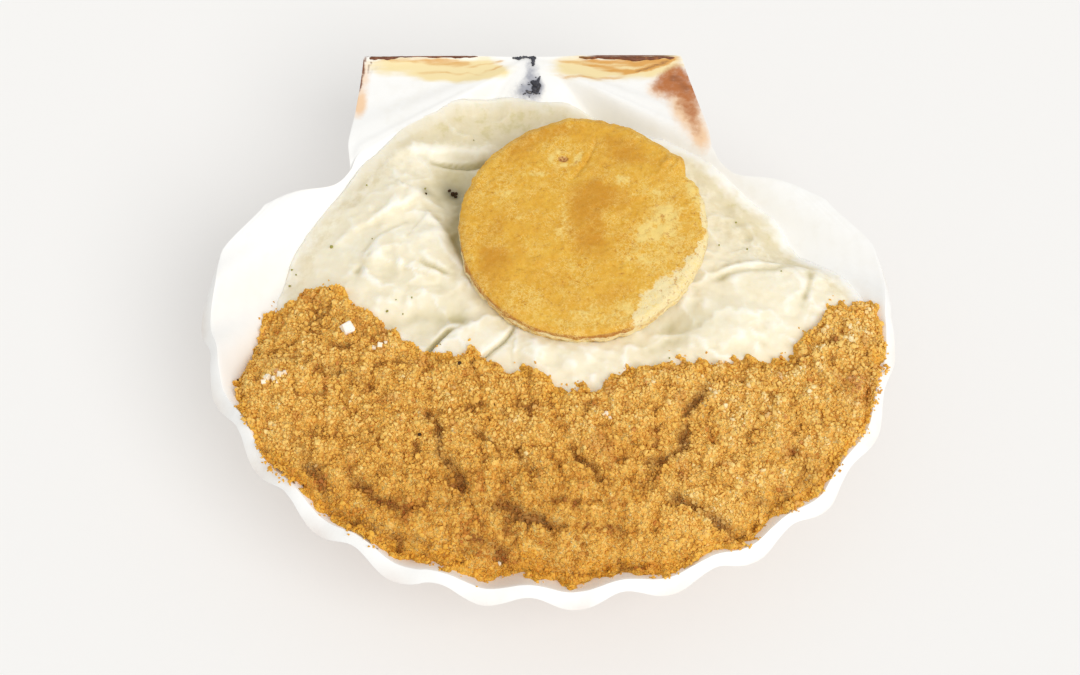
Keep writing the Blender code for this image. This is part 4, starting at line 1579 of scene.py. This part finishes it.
@dataclass(frozen=True)
class Grains:
    """Loose grains of crumb, strewn over the core one sort at a time."""

    heap: Heap
    sorts: tuple[GrainSort, ...] = (
        GrainSort(Grain.FINE, 0.43, (0.24, 0.5), (0.52, 0.05), 0.04, 0.46, 41),
        GrainSort(Grain.MIDDLE, 0.52, (0.34, 0.74), (0.55, 0.06), 0.07, 0.60, 42),
        GrainSort(Grain.COARSE, 0.85, (0.45, 0.92), (0.6, 0.08), 0.10, 0.55, 43),
        GrainSort(Grain.STRAY, 0.75, (0.26, 0.58), (0.5, 0.2), 0.0, 1.0, 44),
    )
    templates: int = 16
    blushed: Hill = Hill(52, -14.5, 1.1, 2.4)
    reddened: float = 0.008
    across: Pair = (-60.0, 62.0)
    along: Pair = (-56.0, 12.0)
    finish: Finish = CRUMB

    def models(self, dice: np.random.Generator) -> tuple[Array, Array]:
        """A few angular grains to choose from.

        Args:
            dice: the source of chance.

        Returns:
            Their corners, one block for each, and the faces they share.
        """
        ball = bmesh.new()
        bmesh.ops.create_icosphere(ball, subdivisions=1, radius=1.0)
        corners = np.array([vertex.co[:] for vertex in ball.verts])
        faces = np.array([[vertex.index for vertex in face.verts] for face in ball.faces])
        ball.free()
        knocks = dice.uniform(0.5, 1.25, (self.templates, len(corners), 1))
        return corners[None] * knocks, faces

    def strew(self, plan: GrainSort, dice: np.random.Generator) -> Array:
        """Chooses where the grains of one sort lie.

        Args:
            plan: the sort.
            dice: the source of chance.

        Returns:
            Their places over the dish, one row each.
        """
        across, along = (np.arange(*span, plan.pitch) for span in (self.across, self.along))
        gx, gy = np.meshgrid(across, along, indexing="ij")
        x = gx.ravel() + dice.uniform(-0.5, 0.5, gx.size) * plan.pitch
        y = gy.ravel() + dice.uniform(-0.5, 0.5, gx.size) * plan.pitch
        cover = self.heap.cover(x, y)
        if plan.sort is Grain.STRAY:
            chance = 0.6 * np.exp(np.minimum(cover, 0.0) / 0.5) * (cover > -3.5) * (cover < 0.4)
            phi, distance = self.heap.valve.polar(x, y)
            chance = chance * (distance < self.heap.valve.reach(phi) + 0.8)
        else:
            chance = plan.share * ease(cover, -0.25, 0.5 if plan.sort is Grain.FINE else 1.2)
        chosen = dice.random(x.size) < chance
        return np.stack([x[chosen], y[chosen]], axis=1)

    def build_sort(self, plan: GrainSort) -> bpy.types.Object:
        """Makes all the grains of one sort as one joined piece.

        Args:
            plan: the sort.

        Returns:
            The piece.
        """
        dice = np.random.default_rng(plan.seed)
        heap = self.heap
        models, faces = self.models(dice)
        x, y = self.strew(plan, dice).T
        count = len(x)
        size = dice.uniform(*plan.size, count) * 0.5 * np.exp(dice.normal(0.0, 0.12, count))
        stretch = size[:, None] * dice.uniform(0.62, 1.38, (count, 3))
        axes = np.linalg.qr(dice.normal(size=(count, 3, 3)))[0]
        axes = axes * np.linalg.det(axes)[:, None, None]
        chips = models[dice.integers(self.templates, size=count)] * stretch[:, None, :]
        chips = np.einsum("nij,nkj->nki", axes, chips)
        floor = np.maximum(heap.sauce(x, y), heap.valve.inside(x, y))
        ground = np.maximum(heap.crumbs(x, y), floor)
        z = ground + size * dice.uniform(-0.05, 0.6, count) + plan.sink
        chips = chips + np.stack([x, y, z], axis=1)[:, None, :]
        tone = dice.normal(*plan.tone, count)
        reddened = dice.random(count) < self.reddened
        data = joined(plan.sort.value + "_crumbs", chips.reshape(-1, 3), faces, count)
        piece = dress(plan.sort.value + "_crumbs", data, self.finish.material(), smooth=False)
        for name, values in self.browning_and_painted_light(x, y, tone, reddened).items():
            marks(piece, name, np.repeat(values, chips.shape[1]))
        return piece

    def browning_and_painted_light(self, x: Array, y: Array, tone: Array, reddened: Array) -> dict[str, Array]:
        """How the grains are browned by where they lie, with painted light and shade laid in.

        Args:
            x, y: their places over the dish.
            tone: their own tones.
            reddened: which of them are reddened by chance.

        Returns:
            The value of each mark for each grain.
        """
        clouds = self.heap.clouds
        relief = self.heap.lumps(x, y)
        # Painted light and shade: lighter on the lumps' tops and darker in their valleys.
        tone = tone + 0.10 * clouds.rough(x, y, 6.0, 3) + 0.07 * clouds.soft(x, y, 1.8) + 0.3 * relief
        # Painted light: lighter towards the right, where the key light falls; also lighter towards the back
        # right and darker towards the front left.
        tone = tone - 0.03 + 0.08 * ease(x, 4.0, 42.0) + 0.07 * ease(y, -24.0, -12.0) * ease(x, -5, 20)
        tone = tone - 0.27 * ease(-y, 20.0, 38.0) * (1.0 - ease(x, 10.0, 30.0))
        # The hollow tint: random dark pits, with painted shade in the creases and in the lumps' valleys.
        pit = 0.7 * ease(clouds.rough(x - 30.0, y, 1.7, 2), 0.62, 0.95)
        valley = 0.85 * ease(-relief, 0.06, 0.7) * (0.75 + 0.75 * clouds.soft(x, y + 20.0, 4.0))
        hollow = 0.55 * self.heap.furrow(x, y) - 0.12 + pit + valley
        inside = self.heap.cover(x, y) + 1.2 * clouds.rough(x, y, 2.4, 2)
        blush = self.blushed.at(x, y) + reddened + 0.5 * (clouds.soft(x, y, 2.4) > 0.72)
        return {
            "tone": np.clip(tone, 0.0, 1.0),
            "hollow": np.clip(hollow, 0.0, 0.95),
            "fringe": 1.0 - ease(inside, 0.3, 3.4 + 2.6 * ease(-y, 20.0, 36.0)),
            "blush": np.clip(blush, 0.0, 1.0),
        }

    def build(self) -> list[bpy.types.Object]:
        """Makes the grains of every sort."""
        return [self.build_sort(plan) for plan in self.sorts]


def joined(name: str, corners: Array, faces: Array, count: int) -> bpy.types.Mesh:
    """Joins many copies of a small shape into one mesh.

    Args:
        name: the mesh's name.
        corners: all their corners in millimetres, copy after copy.
        faces: the triangles of one copy.
        count: how many copies there are.

    Returns:
        The mesh.
    """
    each = len(corners) // count
    triangles = (faces[None] + (np.arange(count) * each)[:, None, None]).reshape(-1, 3)
    data = bpy.data.meshes.new(name)
    data.vertices.add(len(corners))
    data.vertices.foreach_set("co", (corners * MM).astype(np.float32).ravel())
    data.loops.add(triangles.size)
    data.loops.foreach_set("vertex_index", triangles.astype(np.int32).ravel())
    data.polygons.add(len(triangles))
    data.polygons.foreach_set("loop_start", np.arange(0, triangles.size, 3, dtype=np.int32))
    data.update(calc_edges=True)
    return data


# ---- the pastry


@dataclass(frozen=True)
class PastryFinish(Finish):
    """Baked pastry: gold, browner in smooth patches and pale at blisters and edges."""

    brown: Colour = (211, 147, 26)
    pale: Colour = (246, 215, 126)
    scorch: Colour = (158, 70, 26)
    dough: Colour = (247, 230, 178)
    rim: Colour = (186, 120, 44)
    crinkle: Colour = (184, 114, 24)

    def material(self) -> bpy.types.Material:
        """Lays the patches over the gold, each where its mark says.

        Returns:
            The material.
        """
        made, paint, shader, mottle = self.start()
        where = paint.place()
        grain = paint.noise(where, 2.4, 5.0, 0.7)
        colour = mottle.outputs["Colour"]
        for name, tint, uneven, low, high in (
            ("brown", self.brown, 0.7, 0.1, 0.9),
            ("pale", self.pale, 1.9, 0.2, 0.9),
            ("dough", self.dough, 1.5, 0.15, 0.75),
            ("rim", self.rim, 0.8, 0.2, 0.8),
            ("scorch", self.scorch, 0.9, 0.25, 0.8),
        ):
            frayed = paint.strayed(paint.mark(name), grain, uneven)
            colour = paint.mix(paint.band(frayed, low, high), colour, linear(tint))
        flake = paint.noise(where, 1.0, 7.0, 0.82)
        curl = paint.noise(where, 1.35, 5.0, 0.7)
        line = paint.maths("ABSOLUTE", paint.maths("SUBTRACT", curl, 0.5))
        crisp = paint.maths("SUBTRACT", 1.0, paint.times(paint.mark("brown"), 0.8))
        dry = paint.times(crisp, paint.band(paint.noise(where, 0.22), 0.38, 0.6, 0.25, 1.0))
        for tint, shown in (
            (self.pale, paint.times(paint.band(flake, 0.5, 0.68, 0.0, 0.95), dry)),
            (self.crinkle, paint.times(paint.band(flake, 0.47, 0.34, 0.0, 0.8), crisp)),
            (self.pale, paint.times(paint.band(line, 0.034, 0.006, 0.0, 0.95), dry)),
        ):
            colour = paint.mix(shown, colour, linear(tint))
        paint.give(paint.swell(flake, 0.22), shader, "Normal")
        paint.give(colour, shader, "Base Color")
        return made


@dataclass(frozen=True)
class Pastry:
    """The round of baked puff pastry that lies on the sauce."""

    heap: Heap
    clouds: Clouds = field(default_factory=lambda: Clouds(37))
    outline: Outline = Outline(
        (6.0, 14.9),
        (22.0, 21.9, 21.6, 21.3, 21.3, 21.4, 21.5, 21.3, 21.1, 21.2, 21.3, 21.7,
         22.0, 21.8, 21.6, 21.5, 21.4, 21.4, 21.4, 21.5, 21.6, 21.8, 21.9, 22.0),
    )
    thickness: float = 3.5
    cells: int = 270
    rim_share: float = 0.90
    pit: Pair = (2.6, 28.1)
    split: Trail = Trail(((8.5, 33.5), (7.7, 29.7), (6.4, 27.0), (3.7, 23.3)), -0.3, 0.35)
    bump: Hill = Hill(21.4, 27.2, 0.7, 2.4)
    browned: tuple[Hill, ...] = (
        Hill(7.8, 20.5, 1.0, 3.6, 1.3, 20), Hill(6.8, 12.5, 0.8, 3.2, 1.9, 95),
        Hill(12.8, 29.4, 0.9, 3.0, 1.5, -30), Hill(0.1, 34.0, 0.9, 1.9, 2.0, 10),
        Hill(-9.4, 7.0, 0.7, 3.0, 1.5, 60), Hill(-8.5, 14.0, 0.45, 4.0, 1.4, 80),
        Hill(12.0, 1.0, 0.4, 3.0, 2.0, 20), Hill(18.5, 26.0, 0.4, 2.2, 1.5, -40),
        Hill(-5.0, 30.0, 0.5, 2.4, 1.6, 50),
    )
    blistered: tuple[Hill, ...] = (
        Hill(2.3, 13.4, 0.6, 1.8, 1.5, 80), Hill(12.6, 23.6, 0.55, 1.7, 1.6, -25),
        Hill(17.1, 12.8, 1.0, 2.0, 1.4, 15), Hill(15.4, 7.6, 0.7, 1.5, 2.0, 10),
        Hill(-2.2, 25.0, 0.75, 1.2, 1.9, 5), Hill(18.8, 21.0, 0.8, 0.8, 1.3, 0),
        Hill(25.4, 21.4, 1.0, 1.4, 2.4, 110), Hill(5.4, 28.6, 0.7, 0.7, 2.6, 75),
        Hill(21.5, 14.0, 0.4, 3.4, 1.6, 80), Hill(3.0, 31.0, 0.5, 0.5, 4.0, 25),
        Hill(-8.0, 20.5, 0.5, 1.6, 1.8, 20), Hill(6.0, -3.0, 0.4, 3.0, 2.2, 0),
        Hill(20.0, 17.0, 0.5, 1.6, 1.2, 0), Hill(2.5, 19.5, 0.4, 1.5, 2.0, 80),
        Hill(13.5, -2.5, 0.45, 1.6, 1.5, 30),
    )
    finish: Finish = PastryFinish(
        "baked_pastry", (228, 171, 44), (219, 157, 34), (236, 187, 64),
        roughness=0.5, large=0.16, small=1.2, strength=0.85, relief=0.0, specular=0.4, soft=0.06,
    )

    def top(self, x: Array, y: Array) -> Array:
        """Height of the baked top at each place.

        Args:
            x, y: places in millimetres.

        Returns:
            Millimetres.
        """
        dx, dy = x - self.outline.centre[0], y - self.outline.centre[1]
        away = np.hypot(dx, dy) / 21.6
        z = self.heap.underside(x, y) + self.thickness
        z = z + 0.5 * (1.0 - away**2) + 0.28 * self.clouds.rough(x, y, 8.0, 2)
        gap = self.clouds.cells(x + 0.6 * self.clouds.soft(x, y, 2.0), y, 2.3)
        z = z + 0.10 * np.maximum(0.0, 0.5 - gap) * (1.0 + self.clouds.soft(x, y, 6.0))
        z = z + 0.13 * self.clouds.rough(x, y, 1.3, 3)
        z = z - 0.35 * self.round_pit(x, y, 0.8, 0.6) + self.split.at(x, y)
        return z + self.bump.at(x, y) * (0.7 + 0.6 * self.clouds.soft(x, y, 0.9))

    def round_pit(self, x: Array, y: Array, across: float, along: float) -> Array:
        """1 in the middle of the pricked pit, fading over the two distances."""
        return np.exp(-(((x - self.pit[0]) / across) ** 2) - ((y - self.pit[1]) / along) ** 2)

    def build(self) -> bpy.types.Object:
        """Makes the pastry round.

        Returns:
            The piece, which stands for the plain disc.
        """
        mesh = bmesh.new()

        def shape(u: Array, v: Array) -> Array:
            """Spreads the grid over the top and turns its border down the side.

            Args:
                u, v: shares of the way over the grid.

            Returns:
                One row for each place, in millimetres.
            """
            a, b = 2.0 * u - 1.0, 2.0 * v - 1.0
            x, y = self.outline.spread(a, b)
            dx, dy = x - self.outline.centre[0], y - self.outline.centre[1]
            angle = np.arctan2(dx, -dy)
            turned = np.degrees(angle)
            chip = 0.8 * np.exp(-(((turned - 128.0) / 3.6) ** 2))
            chip = chip - 0.8 * np.exp(-(((turned - 118.0) / 3.0) ** 2))
            reach = self.outline.reach(angle) + chip
            reach = reach + 0.26 * self.clouds.rough(angle * 20.0, angle * 0.0, 1.6, 3)
            share = np.hypot(dx, dy) / self.outline.reach(angle)
            flat = np.minimum(share / self.rim_share, 1.0)
            drop = np.maximum(share - self.rim_share, 0.0) / (1.0 - self.rim_share)
            layers = 0.16 * np.sin(drop * 19.0 + 2.0 * self.clouds.soft(angle * 9.0, drop, 1.0))
            layers = layers + 0.18 * self.clouds.rough(angle * 21.6, drop * 9.0, 1.3, 3)
            radius = flat * reach + (layers - 0.55 * drop**3) * ease(drop, 0.0, 0.25)
            x = self.outline.centre[0] + radius * np.sin(angle)
            y = self.outline.centre[1] - radius * np.cos(angle)
            fall = 0.55 * ease(flat, 0.93, 1.0) ** 2
            high = self.top(x, y) - fall
            low = self.heap.underside(x, y)
            return np.stack([x, y, high + (low - high) * drop], axis=1)

        lattice(mesh, self.cells, self.cells, shape)
        close_below(mesh, (*self.outline.centre, self.heap.pad_level + 0.3))
        piece = finish_piece("pastry_round", mesh, self.finish.material(), ("pastry_disc",))
        self.bake(piece)
        return piece

    def bake(self, piece: bpy.types.Object) -> None:
        """Marks the browned, pale and doughy patches.

        Args:
            piece: the finished pastry.
        """
        x, y, z = corners_of(piece).T
        noise = self.clouds.rough
        dx, dy = x - self.outline.centre[0], y - self.outline.centre[1]
        angle, away = np.arctan2(dx, -dy), np.hypot(dx, dy)
        edge = self.outline.reach(angle) - away
        brown = rise(self.browned, x, y)
        brown = brown * (0.8 + 0.5 * noise(x, y, 2.4, 3)) + 0.3 * np.maximum(0.0, noise(x + 50, y, 5.0, 3))
        marks(piece, "brown", np.clip(1.15 * brown, 0.0, 1.0))
        pale = rise(self.blistered, x, y)
        ring = np.hypot((x - self.pit[0]) / 2.2, (y - self.pit[1]) / 1.6)
        pale = pale + 0.75 * np.exp(-(((ring - 0.9) / 0.35) ** 2))
        pale = pale * (0.8 + 0.9 * noise(x, y, 1.2, 3))
        pale = pale + 0.16 * ease(14.0 - y, 0.0, 14.0) + 0.2 * ease(x, 10.0, 20.0)
        marks(piece, "pale", np.clip(0.9 * pale + 0.05, 0.0, 1.0))
        turned = np.degrees(angle)
        crescent = ease(turned, 18.0, 28.0) * (1.0 - ease(turned, 96.0, 112.0))
        width = 0.9 + 2.9 * ease(turned, 20.0, 34.0) * (1.0 - ease(turned, 46.0, 84.0))
        rim_pale = crescent * (1.0 - ease(edge + 0.9 * noise(x, y, 1.4, 4), 0.6 * width, 1.4 * width))
        side = ease(self.top(x, y) - z, 0.9, 1.5)
        streaks = 0.5 + 0.5 * np.sin(z * 7.5 + 2.0 * noise(angle * 12.0, z, 1.0, 2))
        marks(piece, "dough", np.clip(rim_pale + side * (0.45 + 0.35 * streaks), 0.0, 1.0))
        line = (1.0 - ease(edge, 0.05, 0.5)) * (1.0 - side) * (1.0 - crescent)
        line = line * (0.35 + 0.65 * (1.0 - ease(np.abs(turned + 25.0), 45.0, 80.0)))
        marks(piece, "rim", np.clip(0.8 * line + side * 0.5 * (1.0 - streaks), 0.0, 1.0))
        spot = self.round_pit(x, y, 0.95, 0.65)
        bump = Hill(21.6, 27.2, 0.45, 1.8).at(x, y) * (noise(x, y, 0.9, 2) > 0.1)
        marks(piece, "scorch", np.clip(1.25 * spot + bump, 0.0, 1.0))


# ---- the hinge


@dataclass(frozen=True)
class LigamentFinish(Finish):
    """Dried ligament: dark at the hinge line, amber where it thins."""

    amber: Colour = (214, 160, 76)

    def material(self) -> bpy.types.Material:
        """Streaks the ligament along the hinge.

        Returns:
            The material.
        """
        made, paint, shader, mottle = self.start()
        streak = paint.noise(paint.drawn_out(paint.place()), 2.0, 4.0, 0.65)
        level = paint.strayed(paint.mark("thin"), streak, 1.2)
        colour = paint.mix(paint.band(level, 0.3, 0.9), mottle.outputs["Colour"], linear(self.amber))
        paint.give(colour, shader, "Base Color")
        return made


@dataclass(frozen=True)
class Hinge:
    """What is left of the hinge: two strips of ligament and the dark pad between."""

    valve: Valve
    clouds: Clouds = field(default_factory=lambda: Clouds(53))
    left: tuple[Pair, ...] = (
        (-32.6, 0.2), (-32.0, 0.62), (-26.0, 0.6), (-24.4, 0.36), (-17.5, 0.32), (-16.6, 0.52),
        (-13.5, 0.5), (-12.4, 0.2),
    )
    right: tuple[Pair, ...] = (
        (5.6, 0.2), (7.0, 0.45), (9.0, 0.5), (12.0, 0.8), (20.0, 0.75), (22.0, 0.6), (23.2, 0.2),
    )
    back: float = 53.15
    ligament_finish: Finish = LigamentFinish(
        "ligament", (112, 62, 34), (72, 38, 22), (168, 104, 52),
        roughness=0.55, large=0.4, small=2.0, strength=0.8, relief=0.1,
    )
    pad_finish: Finish = Finish(
        "resilium", (62, 64, 74), (28, 28, 34), (136, 132, 128),
        roughness=0.5, large=0.5, small=2.4, strength=0.9, relief=0.12,
    )

    def strip(self, name: str, widths: tuple[Pair, ...]) -> bpy.types.Object:
        """Makes one strip of ligament along the hinge line.

        Args:
            name: which strip it is.
            widths: its width at places along the hinge, from left to right.

        Returns:
            The piece.
        """
        mesh = bmesh.new()
        start, length = widths[0][0], widths[-1][0] - widths[0][0]

        def shape(u: Array, v: Array) -> Array:
            """Bends a sheet into a thin ragged strip on the ear's top.

            Args:
                u, v: shares of the way over the grid.

            Returns:
                One row for each place, in millimetres.
            """
            x = start + u * length
            ends = ease(u, 0.0, 0.05) * (1.0 - ease(u, 0.95, 1.0))
            width = 0.95 * knots(widths, x) * (1.0 + 0.6 * self.clouds.rough(x, x * 0.0, 2.2, 3))
            y = self.back - (1.0 - v) * width
            arch = np.sin(math.pi * v) * (0.25 + 0.12 * self.clouds.rough(x, y * 4.0, 1.1, 2))
            z = self.valve.rim_z + 0.35 + arch * ends
            return np.stack([x, y, z], axis=1)

        lattice(mesh, 150, 8, shape)
        drawn = bmesh.ops.extrude_face_region(mesh, geom=list(mesh.faces), use_keep_orig=True)["geom"]
        lower = [part for part in drawn if isinstance(part, bmesh.types.BMVert)]
        bmesh.ops.translate(mesh, verts=lower, vec=(0.0, 0.0, -1.1 * MM))
        bmesh.ops.recalc_face_normals(mesh, faces=mesh.faces)
        node = name.removesuffix("_strip")
        piece = finish_piece(name, mesh, self.ligament_finish.material(), (node,))
        x, y, _ = corners_of(piece).T
        near = 1.0 - ease(np.abs(x - self.valve.beak[0]), 9.0, 14.0)
        marks(piece, "thin", np.clip(0.5 * near + 0.35 * self.clouds.rough(x, y * 2.0, 2.2, 2), 0.0, 1.0))
        return piece

    def pad(self) -> bpy.types.Object:
        """Makes the dark pad and its stem up to the hinge line.

        Returns:
            The piece.
        """
        dice = np.random.default_rng(59)
        chance, between = dice.normal, dice.uniform
        mesh = bmesh.new()
        lumps = [(-2.3 + chance(0, 0.34), 47.1 + chance(0, 0.5), between(0.4, 0.66)) for _ in range(14)]
        lumps += [(-1.9 + 0.12 * k, 47.9 + 0.3 * k, 0.42 - 0.07 * k) for k in range(5)]
        lumps += [(-3.2 - 0.3 * k, 46.3 + chance(0, 0.12), 0.36 - 0.05 * k) for k in range(5)]
        lumps += [(-6.2 + 0.32 * k, 53.0 + chance(0, 0.08), between(0.2, 0.34)) for k in range(13)]
        lumps += [(-2.7 + chance(0, 0.25), 52.6 - 0.3 * k, 0.36 - 0.05 * k) for k in range(5)]
        lumps += [(-2.8 + chance(0, 1.0), 47.0 + chance(0, 1.0), between(0.06, 0.14)) for _ in range(30)]
        for x, y, size in lumps:
            grown = bmesh.ops.create_icosphere(mesh, subdivisions=2, radius=size * MM)["verts"]
            rows = places(grown)
            swell = 0.35 * self.clouds.soft(rows[:, 0] * 3 + x, rows[:, 1] * 3 + y, 1.1)
            rows = rows * (1.0 + swell)[:, None] * (1.0, 1.0, 0.8)
            ground = float(self.valve.inside(np.array([x]), np.array([min(y, 52.6)]))[0])
            settle(grown, rows + (x, y, ground + 0.35 * size))
        return finish_piece("resilium_pad", mesh, self.pad_finish.material(), ("resilium",))

    def build(self) -> list[bpy.types.Object]:
        """Makes the strips and the pad."""
        strips = (("ligament_left_strip", self.left), ("ligament_right_strip", self.right))
        return [self.strip(name, widths) for name, widths in strips] + [self.pad()]


# ---- the bits


class Bit(Enum):
    """The sorts of small bits seen among the sauce and crumbs."""

    CHEESE = "cheese_cube"
    FLAKE = "white_flakes"
    HERB = "herb_specks"
    CHAR = "dark_bits"


@dataclass(frozen=True)
class BitSort:
    """Where the bits of one sort lie, how large they are and their finish."""

    sort: Bit
    spots: tuple[Triple, ...]
    finish: Finish
    slot: str = "sauce"

    def cubic(self) -> bool:
        """Whether the bits are cubes, not pebbles."""
        return self.sort in (Bit.CHEESE, Bit.FLAKE)


CHEESE = BitSort(
    Bit.CHEESE, ((-34.2, -3.6, 1.65),),
    Finish("cheese", (252, 246, 232), (240, 228, 200), (255, 253, 248), 0.35, soft=0.2),
)
FLAKES = BitSort(
    Bit.FLAKE,
    (
        (-28.6, -7.0, 0.8), (-27.6, -6.7, 0.6), (-29.6, -7.2, 0.6), (-47.6, -12.4, 0.9), (-46.4, -12.8, 0.8),
        (-45.4, -12.0, 0.8), (-44.6, -11.6, 0.7), (-48.2, -13.2, 0.7), (-45.8, -13.6, 0.5), (9.6, -21.8, 0.6),
        (10.2, -22.4, 0.5), (-8.2, -44.6, 0.5),
    ),
    Finish("flake", (250, 236, 210), (232, 206, 160), (255, 250, 240), 0.4, soft=0.1),
)
HERBS = BitSort(
    Bit.HERB,
    (
        (-27.6, 0.3, 0.5), (-37.8, 14.7, 0.55), (-26.1, 2.3, 0.3), (-23.4, 2.5, 0.3), (-24.9, -0.1, 0.25),
        (25.4, 26.8, 0.6), (34.6, 13.7, 0.3), (32.9, 19.7, 0.35), (29.7, 14.1, 0.3), (-18.4, -6.4, 0.3),
        (-31.9, 26.6, 0.35), (-45.2, 9.4, 0.4), (-44.1, 11.2, 0.35), (-41.5, 6.9, 0.35), (-13.2, 36.2, 0.25),
        (-30.6, 15.2, 0.25), (-44.9, 12.4, 0.4), (40.2, 8.4, 0.3), (20.5, -9.2, 0.3), (-21.6, 25.6, 0.4),
    ),
    Finish("herb", (150, 146, 66), (104, 102, 46), (186, 180, 104), 0.6),
)
CHARS = BitSort(
    Bit.CHAR,
    (
        (-16.8, 25.9, 0.9), (-17.4, 26.5, 0.55), (-16.3, 25.4, 0.6), (-16.2, 26.1, 0.5),
        (-15.0, -11.2, 0.7), (22.5, -17.9, 0.4),
        (-21.5, -24.4, 0.6), (25.1, -11.6, 0.35), (-37.6, 5.2, 0.45), (-21.4, 24.4, 0.45), (-5.2, -12.4, 0.5),
        (-40.9, -31.4, 0.4), (-53.0, -10.9, 0.4), (-32.8, -3.9, 0.5), (51.5, -12.6, 0.35),
    ),
    Finish("char", (66, 44, 26), (36, 24, 15), (112, 84, 56), 0.6, relief=0.1, specular=0.15),
    "crumbs",
)


@dataclass(frozen=True)
class Bits:
    """Small bits that lie on the sauce and the crumbs."""

    heap: Heap
    sorts: tuple[BitSort, ...] = (CHEESE, FLAKES, HERBS, CHARS)
    worn: float = 0.16

    def ground(self, x: float, y: float) -> float:
        """Height of whatever lies uppermost at one place."""
        heap, at = self.heap, (np.array([x]), np.array([y]))
        return float(max(layer(*at)[0] for layer in (heap.sauce, heap.valve.inside, heap.crumbs)))

    def blank(self, mesh: bmesh.types.BMesh, cubic: bool, size: float) -> list:
        """Adds one bit at the origin, before it is knocked out of shape.

        Args:
            mesh: the mesh it goes into.
            cubic: whether it is a worn cube.
            size: how large it is, in millimetres.

        Returns:
            Its vertices.
        """
        if not cubic:
            return bmesh.ops.create_icosphere(mesh, subdivisions=2, radius=0.5 * size * MM)["verts"]
        made = bmesh.ops.create_cube(mesh, size=size * MM)["verts"]
        edges = list({edge for vertex in made for edge in vertex.link_edges})
        return bmesh.ops.bevel(
            mesh, geom=edges, offset=self.worn * size * MM, segments=2, profile=0.5,
            affect="EDGES", material=-1,
        )["verts"]

    def build_sort(self, plan: BitSort) -> bpy.types.Object:
        """Makes all the bits of one sort.

        Args:
            plan: which bits.

        Returns:
            The piece.
        """
        dice = np.random.default_rng(len(plan.spots))
        mesh = bmesh.new()
        for x, y, size in plan.spots:
            made = self.blank(mesh, plan.cubic(), size)
            rows = places(made)
            rows = rows * (1.0 + dice.normal(0.0, 0.07, (len(rows), 1))) * dice.uniform(0.75, 1.2, 3)
            axes = np.linalg.qr(dice.normal(size=(3, 3)) + (np.eye(3) * 2.0))[0]
            settle(made, rows @ axes + (x, y, self.ground(x, y) + 0.32 * size))
        bmesh.ops.recalc_face_normals(mesh, faces=mesh.faces)
        smooth = not plan.cubic()
        return finish_piece(plan.sort.value, mesh, plan.finish.material(), smooth=smooth)

    def build(self) -> list[bpy.types.Object]:
        """Makes the bits of every sort."""
        return [self.build_sort(plan) for plan in self.sorts]


# ---- the studio


@dataclass(frozen=True)
class Studio:
    """The plain pale floor, the soft light and the camera."""

    floor_half: float = 1600.0
    paper: tuple[float, ...] = (0.555, 0.552, 0.545, 1.0)
    paper_glow: tuple[float, ...] = (1.0, 0.99, 0.975, 1.0)
    glow: float = 0.33
    room: tuple[float, ...] = (1.0, 0.995, 0.985, 1.0)
    room_light: float = 0.72
    key_light: float = 1.5
    key_colour: Colour = (1.0, 0.985, 0.96)
    key_spread: float = math.radians(42.0)
    key_from: Triple = (0.56, -0.66, 1.0)
    focal: float = 100.0
    sensor: float = 36.0
    aim: Triple = (-1.436, -3.941, 27.0)
    elevation: float = math.radians(62.0)
    away: float = 513.0

    def add(self, name: str, data: bpy.types.ID) -> bpy.types.Object:
        """Adds an object that holds a mesh, a lamp or a lens.

        Args:
            name: its name.
            data: what it holds.

        Returns:
            The object.
        """
        made = bpy.data.objects.new(name, data)
        bpy.context.scene.collection.objects.link(made)
        return made

    def lay_floor(self) -> None:
        """Lays the pale paper that the dish stands on."""
        mesh = bmesh.new()
        bmesh.ops.create_grid(mesh, x_segments=1, y_segments=1, size=self.floor_half * MM)
        data = bpy.data.meshes.new("floor")
        mesh.to_mesh(data)
        mesh.free()
        paper = bpy.data.materials.new("paper")
        paper.use_nodes = True
        inputs = paper.node_tree.nodes["Principled BSDF"].inputs
        for name, value in (
            ("Base Color", self.paper),
            ("Emission Color", self.paper_glow),
            ("Emission Strength", self.glow),
            ("Roughness", 0.9),
            ("Specular IOR Level", 0.1),
        ):
            inputs[name].default_value = value
        data.materials.append(paper)
        floor = self.add("floor", data)

    def light(self) -> None:
        """Fills the room with light and adds the broad key light."""
        world = bpy.data.worlds.new("room")
        bpy.context.scene.world = world
        world.use_nodes = True
        inputs = world.node_tree.nodes["Background"].inputs
        inputs["Color"].default_value = self.room
        inputs["Strength"].default_value = self.room_light
        lamp = bpy.data.lights.new("key", "SUN")
        lamp.energy = self.key_light
        lamp.angle = self.key_spread
        lamp.color = self.key_colour
        self.add("key", lamp).rotation_euler = Vector(self.key_from).to_track_quat("Z", "Y").to_euler()

    def place_camera(self) -> None:
        """Stands the camera above and in front of the dish."""
        lens = bpy.data.cameras.new("camera")
        lens.lens = self.focal
        lens.sensor_width = self.sensor
        lens.clip_start = 0.01
        eye = self.add("camera", lens)
        aim = Vector(self.aim)
        towards = Vector((0.0, -math.cos(self.elevation), math.sin(self.elevation)))
        eye.location = (aim + towards * self.away) * MM
        eye.rotation_euler = (aim * MM - eye.location).to_track_quat("-Z", "Y").to_euler()
        bpy.context.scene.camera = eye
        bpy.context.scene.view_settings.view_transform = "Standard"
        bpy.context.scene.view_settings.look = "None"

    def build(self) -> None:
        """Sets up the floor, the light and the camera."""
        self.lay_floor()
        self.light()
        self.place_camera()


def main() -> None:
    """Builds and dresses every piece, then the studio."""
    logging.basicConfig(level=logging.INFO, format="%(name)s: %(message)s")
    valve = Valve()
    heap = Heap(valve)
    valve.build()
    Sauce(heap).build()
    CrumbCore(heap).build()
    Grains(heap).build()
    Pastry(heap).build()
    Hinge(valve).build()
    Bits(heap).build()
    Studio().build()


if __name__ == "__main__":
    main()
